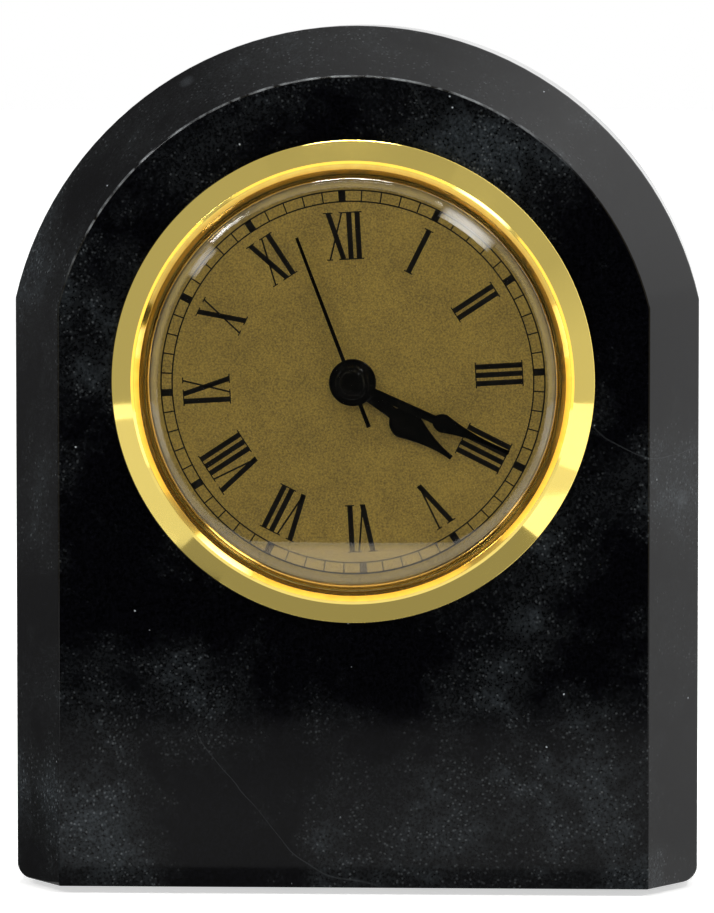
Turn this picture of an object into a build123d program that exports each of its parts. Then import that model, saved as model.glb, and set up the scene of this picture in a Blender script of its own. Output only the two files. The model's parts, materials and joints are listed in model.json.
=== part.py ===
from build123d import *
import math
import os

# Arched stone shelf clock: a bored stone block on a felt pad, and a quartz insert pushed into the bore.
# Millimetres, +Z up. The clock faces -Y, and the felt stands on Z = 0, centred under the block.

# Stone block
CASE_WIDTH = 100.0
CASE_HEIGHT = 125.0
CASE_DEPTH = 38.0
ARCH_RISE = 39.8
BEVEL_WIDTH = 7.2
BEVEL_DEPTH = 11.5
BASE_CORNER_RADIUS = 2.0
BORE_RADIUS = 30.5

# Felt pad
FELT_THICKNESS = 1.0
FELT_INSET = 8.0
FELT_CORNER_RADIUS = 3.0

# Bezel, measured out from the bore and forward from the front of the stone
INSERT_TWIST = 3.3
BEZEL_OVERLAP = 4.5
BEZEL_RIM_HEIGHT = 1.0
BEZEL_CREST_INSET = 3.15
BEZEL_CREST_HEIGHT = 3.5
BEZEL_CREST_FLAT = 0.3
BEZEL_LEDGE = 0.6
BEZEL_LEDGE_RISE = 0.7
BEZEL_SWELL = 0.05
BEZEL_WALL = 0.8
BEZEL_CRIMP = 0.4
BEZEL_LIP_INSET = 0.3
BEZEL_LIP_THICKNESS = 0.5
GROOVE_STEP = 0.9
STACK_CLEARANCE = 0.1

# Lens, dial and hands
LENS_FLANGE_THICKNESS = 0.8
LENS_WALL = 0.7
LENS_SHOULDER_RADIUS = 2.4
LENS_DOME_RADIUS = 300.0
LENS_LIP_CLEARANCE = 0.05
DIAL_THICKNESS = 0.3
HAND_THICKNESS = 0.25
HAND_BOSS_HEIGHT = 0.55
HAND_GAP = 0.2
SECOND_CAP_TOP = 0.25
HOUR_BOSS_RADIUS = 3.4
MINUTE_BOSS_RADIUS = 3.0
SECOND_CAP_RADIUS = 2.45
HOUR_HAND_ANGLE = 130.5
HOUR_HAND_LENGTH = 17.9
HOUR_SPADE_HALF_WIDTH = 2.35
HOUR_SPADE_SHARES = (
    (0.0, 0.45),
    (0.41, 0.36),
    (0.447, 0.745),
    (0.548, 1.0),
    (0.68, 0.617),
    (0.805, 0.33),
    (1.0, 0.15),
)
MINUTE_HAND_ANGLE = 117.3
MINUTE_HAND_LENGTH = 24.7
MINUTE_SPADE_HALF_WIDTH = 1.36
MINUTE_SPADE_SHARES = (
    (0.0, 0.45),
    (0.522, 0.45),
    (0.542, 0.77),
    (0.583, 1.0),
    (0.652, 0.7),
    (0.729, 0.45),
    (1.0, 0.23),
)
SECOND_HAND_ANGLE = -17.6
SECOND_HAND_LENGTH = 22.4
SECOND_HAND_TAIL = 6.8
SECOND_HAND_ROOT_WIDTH = 0.62
SECOND_HAND_TIP_WIDTH = 0.45

# Movement cup, its gasket and its cover
GASKET_DEPTH = 1.6
GASKET_BAND_THICKNESS = 0.7
GASKET_CLEARANCE = 0.05
GASKET_SETBACK = 2.0
GASKET_RIB_PITCH = 2.4
GASKET_RIBS = 4
CUP_WALL = 1.4
CUP_FLANGE_THICKNESS = 0.5
FRONT_WALL = 1.7
CRIMP_CLEARANCE = 0.3
COVER_THICKNESS = 1.5
COVER_SPIGOT_WALL = 0.8
COVER_SPIGOT_HEIGHT = 1.5
COVER_CLEARANCE = 0.05

# Gear train, counted in teeth
ROTOR_PINION_TEETH = 10
FIFTH_WHEEL_TEETH = 60
FIFTH_PINION_TEETH = 10
SECONDS_WHEEL_TEETH = 50
SECONDS_PINION_TEETH = 8
THIRD_WHEEL_TEETH = 60
THIRD_PINION_TEETH = 8
CENTRE_WHEEL_TEETH = 64
CANNON_TEETH = 12
MINUTE_WHEEL_TEETH = 36
MINUTE_PINION_TEETH = 10
HOUR_WHEEL_TEETH = 40
SETTING_PINION_TEETH = 12

# Modules of the meshes that set a centre distance, and the shape of a tooth
ROTOR_MODULE = 0.16
FIFTH_MODULE = 0.24
THIRD_MODULE = 0.2
CANNON_MODULE = 0.24
TOOTH_TIP_SHARE = 0.85
TOOTH_ROOT_SHARE = 1.15
TOOTH_TIP_HALF_SHARE = 0.08
TOOTH_ROOT_HALF_SHARE = 0.24

# Directions between wheel centres, in degrees from the dial's three o'clock
THIRD_DIRECTION = 200.0
FIFTH_DIRECTION = 330.0
ROTOR_DIRECTION = 270.0
MINUTE_DIRECTION = 90.0
SETTING_DIRECTION = 40.0

# Wheels, arbors and bearings
WHEEL_THICKNESS = 0.6
LAYER_GAP = 0.4
PINION_MARGIN = 0.2
END_PLAY = 0.1
ARBOR_RADIUS = 0.4
PIVOT_DEPTH = 0.7
PIVOT_CLEARANCE = 0.04
SECONDS_ARBOR_RADIUS = 0.5
TUBE_CLEARANCE = 0.06
CANNON_WALL = 0.55
HOUR_PIPE_WALL = 0.6
CENTRE_SLIP_CLEARANCE = 0.03
MINUTE_POST_RADIUS = 0.5
SETTING_STEM_RADIUS = 1.0
SETTING_BORE_CLEARANCE = 0.08
KNOB_RADIUS = 4.5
KNOB_RIDGES = 32
KNOB_THICKNESS = 3.0
KNOB_GAP = 0.4

# Stepping motor
MAGNET_RADIUS = 1.6
MAGNET_LENGTH = 1.6
STATOR_THICKNESS = 0.8
STATOR_GAP = 0.35
STATOR_NECK = 0.35
STATOR_LEG_WIDTH = 2.4
STATOR_POST_RADIUS = 1.0
STAKE_RADIUS = 0.5
STAKE_CLEARANCE = 0.04
CORE_WIDTH = 2.2
COIL_FLANGE_SIZE = 7.2
COIL_FLANGE_THICKNESS = 0.8
COIL_LENGTH = 14.0
COIL_BARREL_RADIUS = 2.0
COIL_WINDING_RADIUS = 3.2
COIL_GAP = 0.6
CORE_CLEARANCE = 0.1

# Bridge that carries the rear pivots
BRIDGE_THICKNESS = 1.0
BRIDGE_MARGIN = 2.2
PILLAR_RADIUS = 1.4
TOP_PILLAR_REACH = 12.3
TOP_PILLAR_DIRECTION = 115.0
RIGHT_PILLAR_REACH = 14.8
RIGHT_PILLAR_DIRECTION = 332.0
LEFT_PILLAR_REACH = 15.0
LEFT_PILLAR_DIRECTION = 218.0
SCREW_RADIUS = 0.6
SCREW_LENGTH = 4.0
SCREW_CLEARANCE = 0.03
SCREW_HEAD_RADIUS = 1.1
SCREW_HEAD_HEIGHT = 0.6
SCREW_SLOT_WIDTH = 0.3
SCREW_SLOT_DEPTH = 0.3

# Circuit board
BOARD_WIDTH = 22.0
BOARD_HEIGHT = 6.0
BOARD_THICKNESS = 0.8
BOARD_OVERHANG = 5.7
CHIP_CAP_RADIUS = 1.8
CHIP_CAP_HEIGHT = 0.7
CRYSTAL_RADIUS = 1.0
CRYSTAL_LENGTH = 5.0
CRYSTAL_EDGE = 0.6
COVER_GAP = 0.2

# Battery, its well, its contacts and its hatch
BATTERY_RADIUS = 5.8
BATTERY_HEIGHT = 5.4
BATTERY_REACH = 18.5
BATTERY_DIRECTION = 165.0
BATTERY_CLEARANCE = 0.15
WELL_WALL = 0.8
WELL_FLOOR = 0.8
WELL_STALK_RADIUS = 2.5
CONTACT_THICKNESS = 0.25
CONTACT_WIDTH = 2.0
CONTACT_SPACING = 3.2
CONTACT_LANDING = 1.6
WELL_SLOT_MARGIN = 0.6
HATCH_RADIUS = 6.9
HATCH_CLEARANCE = 0.1
HATCH_LUG_REACH = 1.0
HATCH_LUG_WIDTH = 4.0
HATCH_LUG_THICKNESS = 0.8
HATCH_TURN = 45.0
COIN_SLOT_WIDTH = 1.6
COIN_SLOT_LENGTH = 9.0
COIN_SLOT_DEPTH = 0.7

# How far every cut runs past the face it starts from
OVERRUN = 1.0

# The stone's outline, and the axis of the insert at the centre of the arch
half_width = CASE_WIDTH / 2
case_bottom = FELT_THICKNESS
case_top = case_bottom + CASE_HEIGHT
spring_height = case_top - ARCH_RISE
arch_radius = (half_width**2 + ARCH_RISE**2) / (2 * ARCH_RISE)
axis_height = case_top - arch_radius
front_plane = Plane.XZ.offset(CASE_DEPTH / 2)
twist = math.radians(INSERT_TWIST)
dial_right = Vector(math.cos(twist), 0, math.sin(twist))
dial_forward = Vector(0, -1, 0)
dial_plane = Plane(front_plane.origin + Vector(0, 0, axis_height), x_dir=dial_right, z_dir=dial_forward)
insert_axis = Axis(dial_plane.origin, dial_forward)
section_plane = Plane(dial_plane.origin, x_dir=dial_right, z_dir=dial_right.cross(dial_forward))

# Radii of the insert
bezel_radius = BORE_RADIUS + BEZEL_OVERLAP
crest_radius = bezel_radius - BEZEL_CREST_INSET
groove_radius = BORE_RADIUS + GROOVE_STEP
stack_radius = groove_radius - STACK_CLEARANCE
lip_radius = BORE_RADIUS - BEZEL_LIP_INSET
lens_radius = lip_radius - LENS_LIP_CLEARANCE
gasket_radius = BORE_RADIUS - GASKET_CLEARANCE
cup_radius = gasket_radius - GASKET_DEPTH
cup_inner_radius = cup_radius - CUP_WALL

# Depths of the stack held in the bezel, forward of the stone
dial_back = BEZEL_CRIMP + CUP_FLANGE_THICKNESS
dial_front = dial_back + DIAL_THICKNESS
lens_flange_front = dial_front + LENS_FLANGE_THICKNESS
lip_front = lens_flange_front + BEZEL_LIP_THICKNESS
hour_boss_back = dial_front + HAND_GAP
hour_boss_front = hour_boss_back + HAND_BOSS_HEIGHT
minute_boss_back = hour_boss_front + HAND_GAP
minute_boss_front = minute_boss_back + HAND_BOSS_HEIGHT
second_cap_back = minute_boss_front + HAND_GAP
second_cap_front = second_cap_back + HAND_BOSS_HEIGHT
seconds_arbor_front = second_cap_front - SECOND_CAP_TOP

# Depths of the train, layer by layer behind the dial
wall_back = dial_back - FRONT_WALL
hour_wheel_front = wall_back - LAYER_GAP
hour_wheel_back = hour_wheel_front - WHEEL_THICKNESS
minute_wheel_front = hour_wheel_back - LAYER_GAP
minute_wheel_back = minute_wheel_front - WHEEL_THICKNESS
cannon_teeth_back = minute_wheel_back - PINION_MARGIN
centre_wheel_front = cannon_teeth_back - END_PLAY
centre_wheel_back = centre_wheel_front - WHEEL_THICKNESS
third_wheel_front = centre_wheel_back - LAYER_GAP
third_wheel_back = third_wheel_front - WHEEL_THICKNESS
seconds_wheel_front = third_wheel_back - LAYER_GAP
seconds_wheel_back = seconds_wheel_front - WHEEL_THICKNESS
fifth_wheel_front = seconds_wheel_back - LAYER_GAP
fifth_wheel_back = fifth_wheel_front - WHEEL_THICKNESS
magnet_front = fifth_wheel_back - PINION_MARGIN - LAYER_GAP
magnet_back = magnet_front - MAGNET_LENGTH
bridge_front = magnet_back - LAYER_GAP
bridge_back = bridge_front - BRIDGE_THICKNESS
stator_front = magnet_front - (MAGNET_LENGTH - STATOR_THICKNESS) / 2
stator_back = stator_front - STATOR_THICKNESS
core_back = stator_back - STATOR_THICKNESS
coil_depth = (stator_back + core_back) / 2
board_front = coil_depth - COIL_FLANGE_SIZE / 2
board_back = board_front - BOARD_THICKNESS
cover_front = board_back - CHIP_CAP_HEIGHT - COVER_GAP
cover_back = cover_front - COVER_THICKNESS
knob_front = cover_back - KNOB_GAP
knob_back = knob_front - KNOB_THICKNESS

# Depths in the battery well
lug_back = cover_front + HATCH_CLEARANCE
lug_front = lug_back + HATCH_LUG_THICKNESS
battery_back = lug_front + HATCH_CLEARANCE
battery_front = battery_back + BATTERY_HEIGHT
well_floor_back = battery_front + CONTACT_THICKNESS
well_floor_front = well_floor_back + WELL_FLOOR
well_radius = BATTERY_RADIUS + BATTERY_CLEARANCE

# The middle of the dial
centre = (0, 0)


def away(start, distance, direction):
    """The point that lies a distance away from another, in degrees from the dial's three o'clock."""
    turn = math.radians(direction)
    return (start[0] + distance * math.cos(turn), start[1] + distance * math.sin(turn))


def centre_distance(module, teeth, mate_teeth):
    """How far apart two wheels in mesh stand."""
    return module * (teeth + mate_teeth) / 2


def meshed(phase, teeth, direction, mate_teeth):
    """The angle of a tooth on the mate, so that it faces a gap of the first wheel on the line of centres."""
    tooth_share = (direction - phase) * teeth / 360
    return direction + 180 - (0.5 - tooth_share) * 360 / mate_teeth


def on(place, depth):
    """A plane parallel to the dial, through a place across the dial and at a depth."""
    return Plane(dial_plane.from_local_coords((*place, depth)), x_dir=dial_right, z_dir=dial_forward)


def turned(place, depth, direction):
    """The same plane, with its X axis turned to a direction."""
    ahead = dial_plane.from_local_coords(away(centre, 1, direction)) - dial_plane.origin
    return Plane(on(place, depth).origin, x_dir=ahead, z_dir=dial_forward)


def across_plane(right, up, depth):
    """A plane that looks along the dial, from left to right."""
    return Plane(dial_plane.from_local_coords((right, up, depth)), x_dir=dial_forward, z_dir=dial_right)


def rod(place, radius, back, front, mode=Mode.ADD):
    """Adds a round rod, or cuts a round hole, from one depth to another."""
    with Locations(on(place, back)):
        Cylinder(radius, front - back, align=(Align.CENTER, Align.CENTER, Align.MIN), mode=mode)


def toothed(place, teeth, module, phase, back, front):
    """Adds a toothed disc with straight-sided teeth, one of them at the angle of its phase."""
    tip = module * (teeth / 2 + TOOTH_TIP_SHARE)
    root = module * (teeth / 2 - TOOTH_ROOT_SHARE)
    corners = []
    for tooth in range(teeth):
        for radius, side_share in (
            (root, -TOOTH_ROOT_HALF_SHARE),
            (tip, -TOOTH_TIP_HALF_SHARE),
            (tip, TOOTH_TIP_HALF_SHARE),
            (root, TOOTH_ROOT_HALF_SHARE),
        ):
            corners.append(away(centre, radius, phase + (tooth + side_share) * 360 / teeth))
    with BuildSketch(on(place, back)) as outline:
        with BuildLine():
            Polyline(*corners, close=True)
        make_face()
    extrude(outline.sketch, amount=front - back)


def spade_blade(length, half_width, shares, direction, depth):
    """Adds a spade-shaped hand blade, drawn from the centre out to its blunt tip."""
    root, shoulder, swell, widest, waist, taper, tip = (
        (length * along_share, half_width * width_share) for along_share, width_share in shares
    )
    with BuildSketch(turned(centre, depth, direction)) as outline:
        with BuildLine():
            Line((0, 0), root)
            Line(root, shoulder)
            ThreePointArc(shoulder, swell, widest)
            Spline(widest, waist, taper, tip)
            Line(tip, (length, 0))
            mirror(about=Plane.XZ)
        make_face()
    extrude(outline.sketch, amount=HAND_THICKNESS)


def bevel_corners(edge):
    """The waste triangle of the bevel on an edge, as (outward, forward of the block's middle) corners."""
    front = CASE_DEPTH / 2
    slope = BEVEL_DEPTH / BEVEL_WIDTH
    return (
        (edge - BEVEL_WIDTH - OVERRUN / slope, front + OVERRUN),
        (edge + OVERRUN, front - BEVEL_DEPTH - OVERRUN * slope),
        (edge + OVERRUN, front + OVERRUN),
    )


# Places of the wheels across the dial
third_reach = centre_distance(THIRD_MODULE, SECONDS_PINION_TEETH, THIRD_WHEEL_TEETH)
fifth_reach = centre_distance(FIFTH_MODULE, SECONDS_WHEEL_TEETH, FIFTH_PINION_TEETH)
rotor_reach = centre_distance(ROTOR_MODULE, ROTOR_PINION_TEETH, FIFTH_WHEEL_TEETH)
minute_reach = centre_distance(CANNON_MODULE, CANNON_TEETH, MINUTE_WHEEL_TEETH)
setting_reach = centre_distance(CANNON_MODULE, MINUTE_WHEEL_TEETH, SETTING_PINION_TEETH)
third_place = away(centre, third_reach, THIRD_DIRECTION)
fifth_place = away(centre, fifth_reach, FIFTH_DIRECTION)
rotor_place = away(fifth_place, rotor_reach, ROTOR_DIRECTION)
minute_place = away(centre, minute_reach, MINUTE_DIRECTION)
setting_place = away(minute_place, setting_reach, SETTING_DIRECTION)
centre_module = 2 * third_reach / (THIRD_PINION_TEETH + CENTRE_WHEEL_TEETH)
hour_module = 2 * minute_reach / (MINUTE_PINION_TEETH + HOUR_WHEEL_TEETH)

# Phases of the wheels that another wheel sets
third_wheel_phase = meshed(0, SECONDS_PINION_TEETH, THIRD_DIRECTION, THIRD_WHEEL_TEETH)
centre_wheel_phase = meshed(0, THIRD_PINION_TEETH, THIRD_DIRECTION + 180, CENTRE_WHEEL_TEETH)
fifth_pinion_phase = meshed(0, SECONDS_WHEEL_TEETH, FIFTH_DIRECTION, FIFTH_PINION_TEETH)
rotor_pinion_phase = meshed(0, FIFTH_WHEEL_TEETH, ROTOR_DIRECTION, ROTOR_PINION_TEETH)
minute_wheel_phase = meshed(0, CANNON_TEETH, MINUTE_DIRECTION, MINUTE_WHEEL_TEETH)
hour_wheel_phase = meshed(0, MINUTE_PINION_TEETH, MINUTE_DIRECTION + 180, HOUR_WHEEL_TEETH)
setting_pinion_phase = meshed(minute_wheel_phase, MINUTE_WHEEL_TEETH, SETTING_DIRECTION, SETTING_PINION_TEETH)

# Radii of the tubes that share the centre
cannon_bore = SECONDS_ARBOR_RADIUS + TUBE_CLEARANCE
cannon_radius = cannon_bore + CANNON_WALL
hour_bore = cannon_radius + TUBE_CLEARANCE
hour_pipe_radius = hour_bore + HOUR_PIPE_WALL

# Places of the coil, the board and the bridge
stator_hole_radius = MAGNET_RADIUS + STATOR_GAP
stator_half_height = stator_hole_radius + STATOR_NECK
coil_height = rotor_place[1] - stator_half_height - COIL_GAP - COIL_FLANGE_SIZE / 2
leg_offset = COIL_LENGTH / 2 + COIL_GAP + STATOR_LEG_WIDTH / 2
stake_places = ((-leg_offset, coil_height), (leg_offset, coil_height))
board_end = -leg_offset - BOARD_OVERHANG
board_centre = (board_end + BOARD_WIDTH / 2, coil_height)
battery_place = away(centre, BATTERY_REACH, BATTERY_DIRECTION)
pillars = (
    away(centre, TOP_PILLAR_REACH, TOP_PILLAR_DIRECTION),
    away(centre, RIGHT_PILLAR_REACH, RIGHT_PILLAR_DIRECTION),
    away(centre, LEFT_PILLAR_REACH, LEFT_PILLAR_DIRECTION),
)

# Leads run from the battery to the board's near end
landing = (
    board_end + CONTACT_SPACING,
    board_centre[1] + BOARD_HEIGHT / 2 - CONTACT_LANDING,
)
lead_run = (landing[0] - battery_place[0], landing[1] - battery_place[1])
lead_length = math.hypot(*lead_run)
lead_direction = math.degrees(math.atan2(lead_run[1], lead_run[0]))


# Stone block, bevelled round the front but not along its base
with BuildPart() as stone_case:
    with BuildSketch(Plane.XZ.offset(-CASE_DEPTH / 2)):
        with BuildLine():
            Line((-half_width, case_bottom), (half_width, case_bottom))
            Line((half_width, case_bottom), (half_width, spring_height))
            ThreePointArc((half_width, spring_height), (0, case_top), (-half_width, spring_height))
            Line((-half_width, spring_height), (-half_width, case_bottom))
        make_face()
    extrude(amount=CASE_DEPTH)
    with BuildSketch(Plane.XY.offset(case_bottom - OVERRUN)):
        for side in (-1, 1):
            waste = [(side * across, -forward) for across, forward in bevel_corners(half_width)]
            with BuildLine():
                Polyline(*waste, close=True)
            make_face()
    extrude(amount=CASE_HEIGHT + 2 * OVERRUN, mode=Mode.SUBTRACT)
    with BuildSketch(Plane((0, 0, axis_height), x_dir=(1, 0, 0), z_dir=(0, 0, -1))):
        with BuildLine():
            Polyline(*bevel_corners(arch_radius), close=True)
        make_face()
    revolve(axis=insert_axis, revolution_arc=180, mode=Mode.SUBTRACT)
    fillet(stone_case.edges().filter_by(Axis.Y).group_by(Axis.Z)[0], BASE_CORNER_RADIUS)
    rod(centre, BORE_RADIUS, -CASE_DEPTH - OVERRUN, OVERRUN, Mode.SUBTRACT)

# Felt pad under the block
with BuildPart() as felt_base:
    with BuildSketch(Plane.XY):
        RectangleRounded(CASE_WIDTH - 2 * FELT_INSET, CASE_DEPTH - 2 * FELT_INSET, FELT_CORNER_RADIUS)
    extrude(amount=FELT_THICKNESS)

# Bezel: a hollow ring that rests on the stone, crimped behind the cup's flange
with BuildPart() as bezel:
    with BuildSketch(section_plane):
        with BuildLine():
            rim_top = (bezel_radius, BEZEL_RIM_HEIGHT)
            crest_outer = (crest_radius, BEZEL_CREST_HEIGHT)
            crest_inner = (crest_radius - BEZEL_CREST_FLAT, BEZEL_CREST_HEIGHT)
            face_middle = ((rim_top[0] + crest_outer[0]) / 2, (rim_top[1] + crest_outer[1]) / 2)
            Line((cup_radius + CRIMP_CLEARANCE, 0), (bezel_radius, 0))
            Line((bezel_radius, 0), rim_top)
            ThreePointArc(rim_top, (face_middle[0] + BEZEL_SWELL, face_middle[1] + BEZEL_SWELL), crest_outer)
            Polyline(
                crest_outer,
                crest_inner,
                (lip_radius + BEZEL_LEDGE, lip_front + BEZEL_LEDGE_RISE),
                (lip_radius, lip_front),
                (lip_radius, lens_flange_front),
                (groove_radius, lens_flange_front),
                (groove_radius, BEZEL_CRIMP),
                (cup_radius + CRIMP_CLEARANCE, BEZEL_CRIMP),
                (cup_radius + CRIMP_CLEARANCE, 0),
            )
        make_face()
    revolve(axis=insert_axis)
    with BuildSketch(section_plane):
        with BuildLine():
            Polyline(
                (groove_radius + BEZEL_WALL, -OVERRUN),
                (bezel_radius - BEZEL_WALL, -OVERRUN),
                (bezel_radius - BEZEL_WALL, BEZEL_RIM_HEIGHT),
                (groove_radius + BEZEL_WALL, lens_flange_front),
                close=True,
            )
        make_face()
    revolve(axis=insert_axis, mode=Mode.SUBTRACT)

# Lens: a flange held under the bezel's lip, a rounded shoulder and a shallow dome
with BuildPart() as lens:
    shoulder_reach = lens_radius - LENS_SHOULDER_RADIUS
    shoulder_height = lens_flange_front
    centre_gap = LENS_DOME_RADIUS - LENS_SHOULDER_RADIUS
    dome_centre = shoulder_height - math.sqrt(centre_gap**2 - shoulder_reach**2)
    join_angle = math.acos(shoulder_reach / centre_gap)
    walls = []
    for inset in (0, LENS_WALL):
        dome = LENS_DOME_RADIUS - inset
        shoulder = LENS_SHOULDER_RADIUS - inset
        middle_angle = (math.pi / 2 + join_angle) / 2
        bend = (
            shoulder_reach + shoulder * math.cos(join_angle / 2),
            shoulder_height + shoulder * math.sin(join_angle / 2),
        )
        walls.append(
            {
                "foot": (lens_radius - inset, shoulder_height),
                "bend": bend,
                "join": (dome * math.cos(join_angle), dome_centre + dome * math.sin(join_angle)),
                "crown": (dome * math.cos(middle_angle), dome_centre + dome * math.sin(middle_angle)),
                "top": (0, dome_centre + dome),
            }
        )
    outer, inner = walls
    with BuildSketch(section_plane):
        with BuildLine():
            Polyline(
                inner["foot"],
                (inner["foot"][0], dial_front),
                (stack_radius, dial_front),
                (stack_radius, lens_flange_front),
                outer["foot"],
            )
            for wall in walls:
                ThreePointArc(wall["foot"], wall["bend"], wall["join"])
                ThreePointArc(wall["join"], wall["crown"], wall["top"])
            Line(outer["top"], inner["top"])
        make_face()
    revolve(axis=insert_axis)

# Dial disc
with BuildPart() as dial:
    rod(centre, stack_radius, dial_back, dial_front)
    rod(centre, hour_pipe_radius + TUBE_CLEARANCE, dial_back - OVERRUN, dial_front + OVERRUN, Mode.SUBTRACT)

# Hands, each with its boss
with BuildPart() as hour_hand:
    rod(centre, HOUR_BOSS_RADIUS, hour_boss_back, hour_boss_front)
    hour_blade_back = hour_boss_back + (HAND_BOSS_HEIGHT - HAND_THICKNESS) / 2
    spade_blade(
        HOUR_HAND_LENGTH, HOUR_SPADE_HALF_WIDTH, HOUR_SPADE_SHARES, 90 - HOUR_HAND_ANGLE, hour_blade_back
    )
    rod(centre, hour_pipe_radius, hour_boss_back - OVERRUN, hour_boss_front + OVERRUN, Mode.SUBTRACT)

with BuildPart() as minute_hand:
    rod(centre, MINUTE_BOSS_RADIUS, minute_boss_back, minute_boss_front)
    minute_blade_back = minute_boss_back + (HAND_BOSS_HEIGHT - HAND_THICKNESS) / 2
    spade_blade(
        MINUTE_HAND_LENGTH,
        MINUTE_SPADE_HALF_WIDTH,
        MINUTE_SPADE_SHARES,
        90 - MINUTE_HAND_ANGLE,
        minute_blade_back,
    )
    rod(centre, cannon_radius, minute_boss_back - OVERRUN, minute_boss_front + OVERRUN, Mode.SUBTRACT)

with BuildPart() as second_hand:
    rod(centre, SECOND_CAP_RADIUS, second_cap_back, second_cap_front)
    second_blade_back = second_cap_back + (HAND_BOSS_HEIGHT - HAND_THICKNESS) / 2
    with BuildSketch(turned(centre, second_blade_back, 90 - SECOND_HAND_ANGLE)):
        with BuildLine():
            Polyline(
                (-SECOND_HAND_TAIL, -SECOND_HAND_ROOT_WIDTH / 2),
                (SECOND_HAND_LENGTH, -SECOND_HAND_TIP_WIDTH / 2),
                (SECOND_HAND_LENGTH, SECOND_HAND_TIP_WIDTH / 2),
                (-SECOND_HAND_TAIL, SECOND_HAND_ROOT_WIDTH / 2),
                close=True,
            )
        make_face()
    extrude(amount=HAND_THICKNESS)
    rod(centre, SECONDS_ARBOR_RADIUS, second_cap_back - OVERRUN, seconds_arbor_front, Mode.SUBTRACT)

# Ribbed rubber band round the cup
with BuildPart() as gasket_band:
    gasket_front = -GASKET_SETBACK
    gasket_back = gasket_front - GASKET_RIBS * GASKET_RIB_PITCH
    band_radius = cup_radius + GASKET_BAND_THICKNESS
    rib_line = [(band_radius, gasket_back)]
    for rib in range(GASKET_RIBS):
        rib_back = gasket_back + rib * GASKET_RIB_PITCH
        rib_line.append((gasket_radius, rib_back + GASKET_RIB_PITCH / 2))
        rib_line.append((band_radius, rib_back + GASKET_RIB_PITCH))
    with BuildSketch(section_plane):
        with BuildLine():
            Polyline((cup_radius, gasket_back), *rib_line, (cup_radius, gasket_front), close=True)
        make_face()
    revolve(axis=insert_axis)

# Movement cup: flange, front wall and tube, with the posts and bearings of the movement
with BuildPart() as movement_cup:
    rod(centre, stack_radius, BEZEL_CRIMP, dial_back)
    rod(centre, cup_radius, cover_front, dial_back)
    rod(centre, cup_inner_radius, cover_front - OVERRUN, wall_back, Mode.SUBTRACT)
    rod(minute_place, MINUTE_POST_RADIUS, minute_wheel_back - END_PLAY, wall_back)
    rotor_boss_back = fifth_wheel_front + PINION_MARGIN + END_PLAY
    rod(rotor_place, PILLAR_RADIUS, rotor_boss_back, wall_back)
    screw_hole_radius = SCREW_RADIUS + SCREW_CLEARANCE
    screw_hole_front = bridge_back + SCREW_LENGTH
    for pillar in pillars:
        rod(pillar, PILLAR_RADIUS, bridge_front, wall_back)
        rod(pillar, screw_hole_radius, bridge_front - OVERRUN, screw_hole_front, Mode.SUBTRACT)
    for stake_place in stake_places:
        rod(stake_place, STATOR_POST_RADIUS, stator_front, wall_back)
        rod(stake_place, STAKE_RADIUS, core_back - END_PLAY, stator_front)
    rod(battery_place, WELL_STALK_RADIUS, well_floor_front, wall_back)
    rod(battery_place, well_radius + WELL_WALL, lug_front + HATCH_CLEARANCE, well_floor_front)
    rod(battery_place, well_radius, lug_front + HATCH_CLEARANCE - OVERRUN, well_floor_back, Mode.SUBTRACT)
    with BuildSketch(turned(battery_place, lug_front, lead_direction)):
        Rectangle(
            well_radius + WELL_WALL + OVERRUN,
            CONTACT_SPACING + CONTACT_WIDTH + 2 * WELL_SLOT_MARGIN,
            align=(Align.MIN, Align.CENTER),
        )
    extrude(amount=well_floor_back - lug_front, mode=Mode.SUBTRACT)
    rod(centre, hour_pipe_radius + TUBE_CLEARANCE, wall_back - OVERRUN, dial_back + OVERRUN, Mode.SUBTRACT)
    pivot_hole_radius = ARBOR_RADIUS + PIVOT_CLEARANCE
    for pivot_place, face in (
        (third_place, wall_back),
        (fifth_place, wall_back),
        (setting_place, wall_back),
        (rotor_place, rotor_boss_back),
    ):
        rod(pivot_place, pivot_hole_radius, face - OVERRUN, face + PIVOT_DEPTH + END_PLAY, Mode.SUBTRACT)

# Cover at the back of the cup, with its spigot, the stem's hole and the hatch's opening
with BuildPart() as rear_cover:
    spigot_radius = cup_inner_radius - COVER_CLEARANCE
    rod(centre, cup_radius, cover_back, cover_front)
    rod(centre, spigot_radius, cover_front, cover_front + COVER_SPIGOT_HEIGHT)
    spigot_top = cover_front + COVER_SPIGOT_HEIGHT + OVERRUN
    rod(centre, spigot_radius - COVER_SPIGOT_WALL, cover_front, spigot_top, Mode.SUBTRACT)
    stem_hole_radius = SETTING_STEM_RADIUS + SETTING_BORE_CLEARANCE
    rod(setting_place, stem_hole_radius, cover_back - OVERRUN, cover_front + OVERRUN, Mode.SUBTRACT)
    with BuildSketch(turned(battery_place, cover_back - OVERRUN, BATTERY_DIRECTION + 90 - HATCH_TURN)):
        Circle(HATCH_RADIUS + HATCH_LUG_REACH + HATCH_CLEARANCE)
        lug_gap = HATCH_LUG_WIDTH + 2 * HATCH_CLEARANCE
        Rectangle(2 * (cup_radius + OVERRUN), lug_gap, mode=Mode.INTERSECT)
        Circle(HATCH_RADIUS + HATCH_CLEARANCE)
    extrude(amount=COVER_THICKNESS + 2 * OVERRUN, mode=Mode.SUBTRACT)

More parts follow.
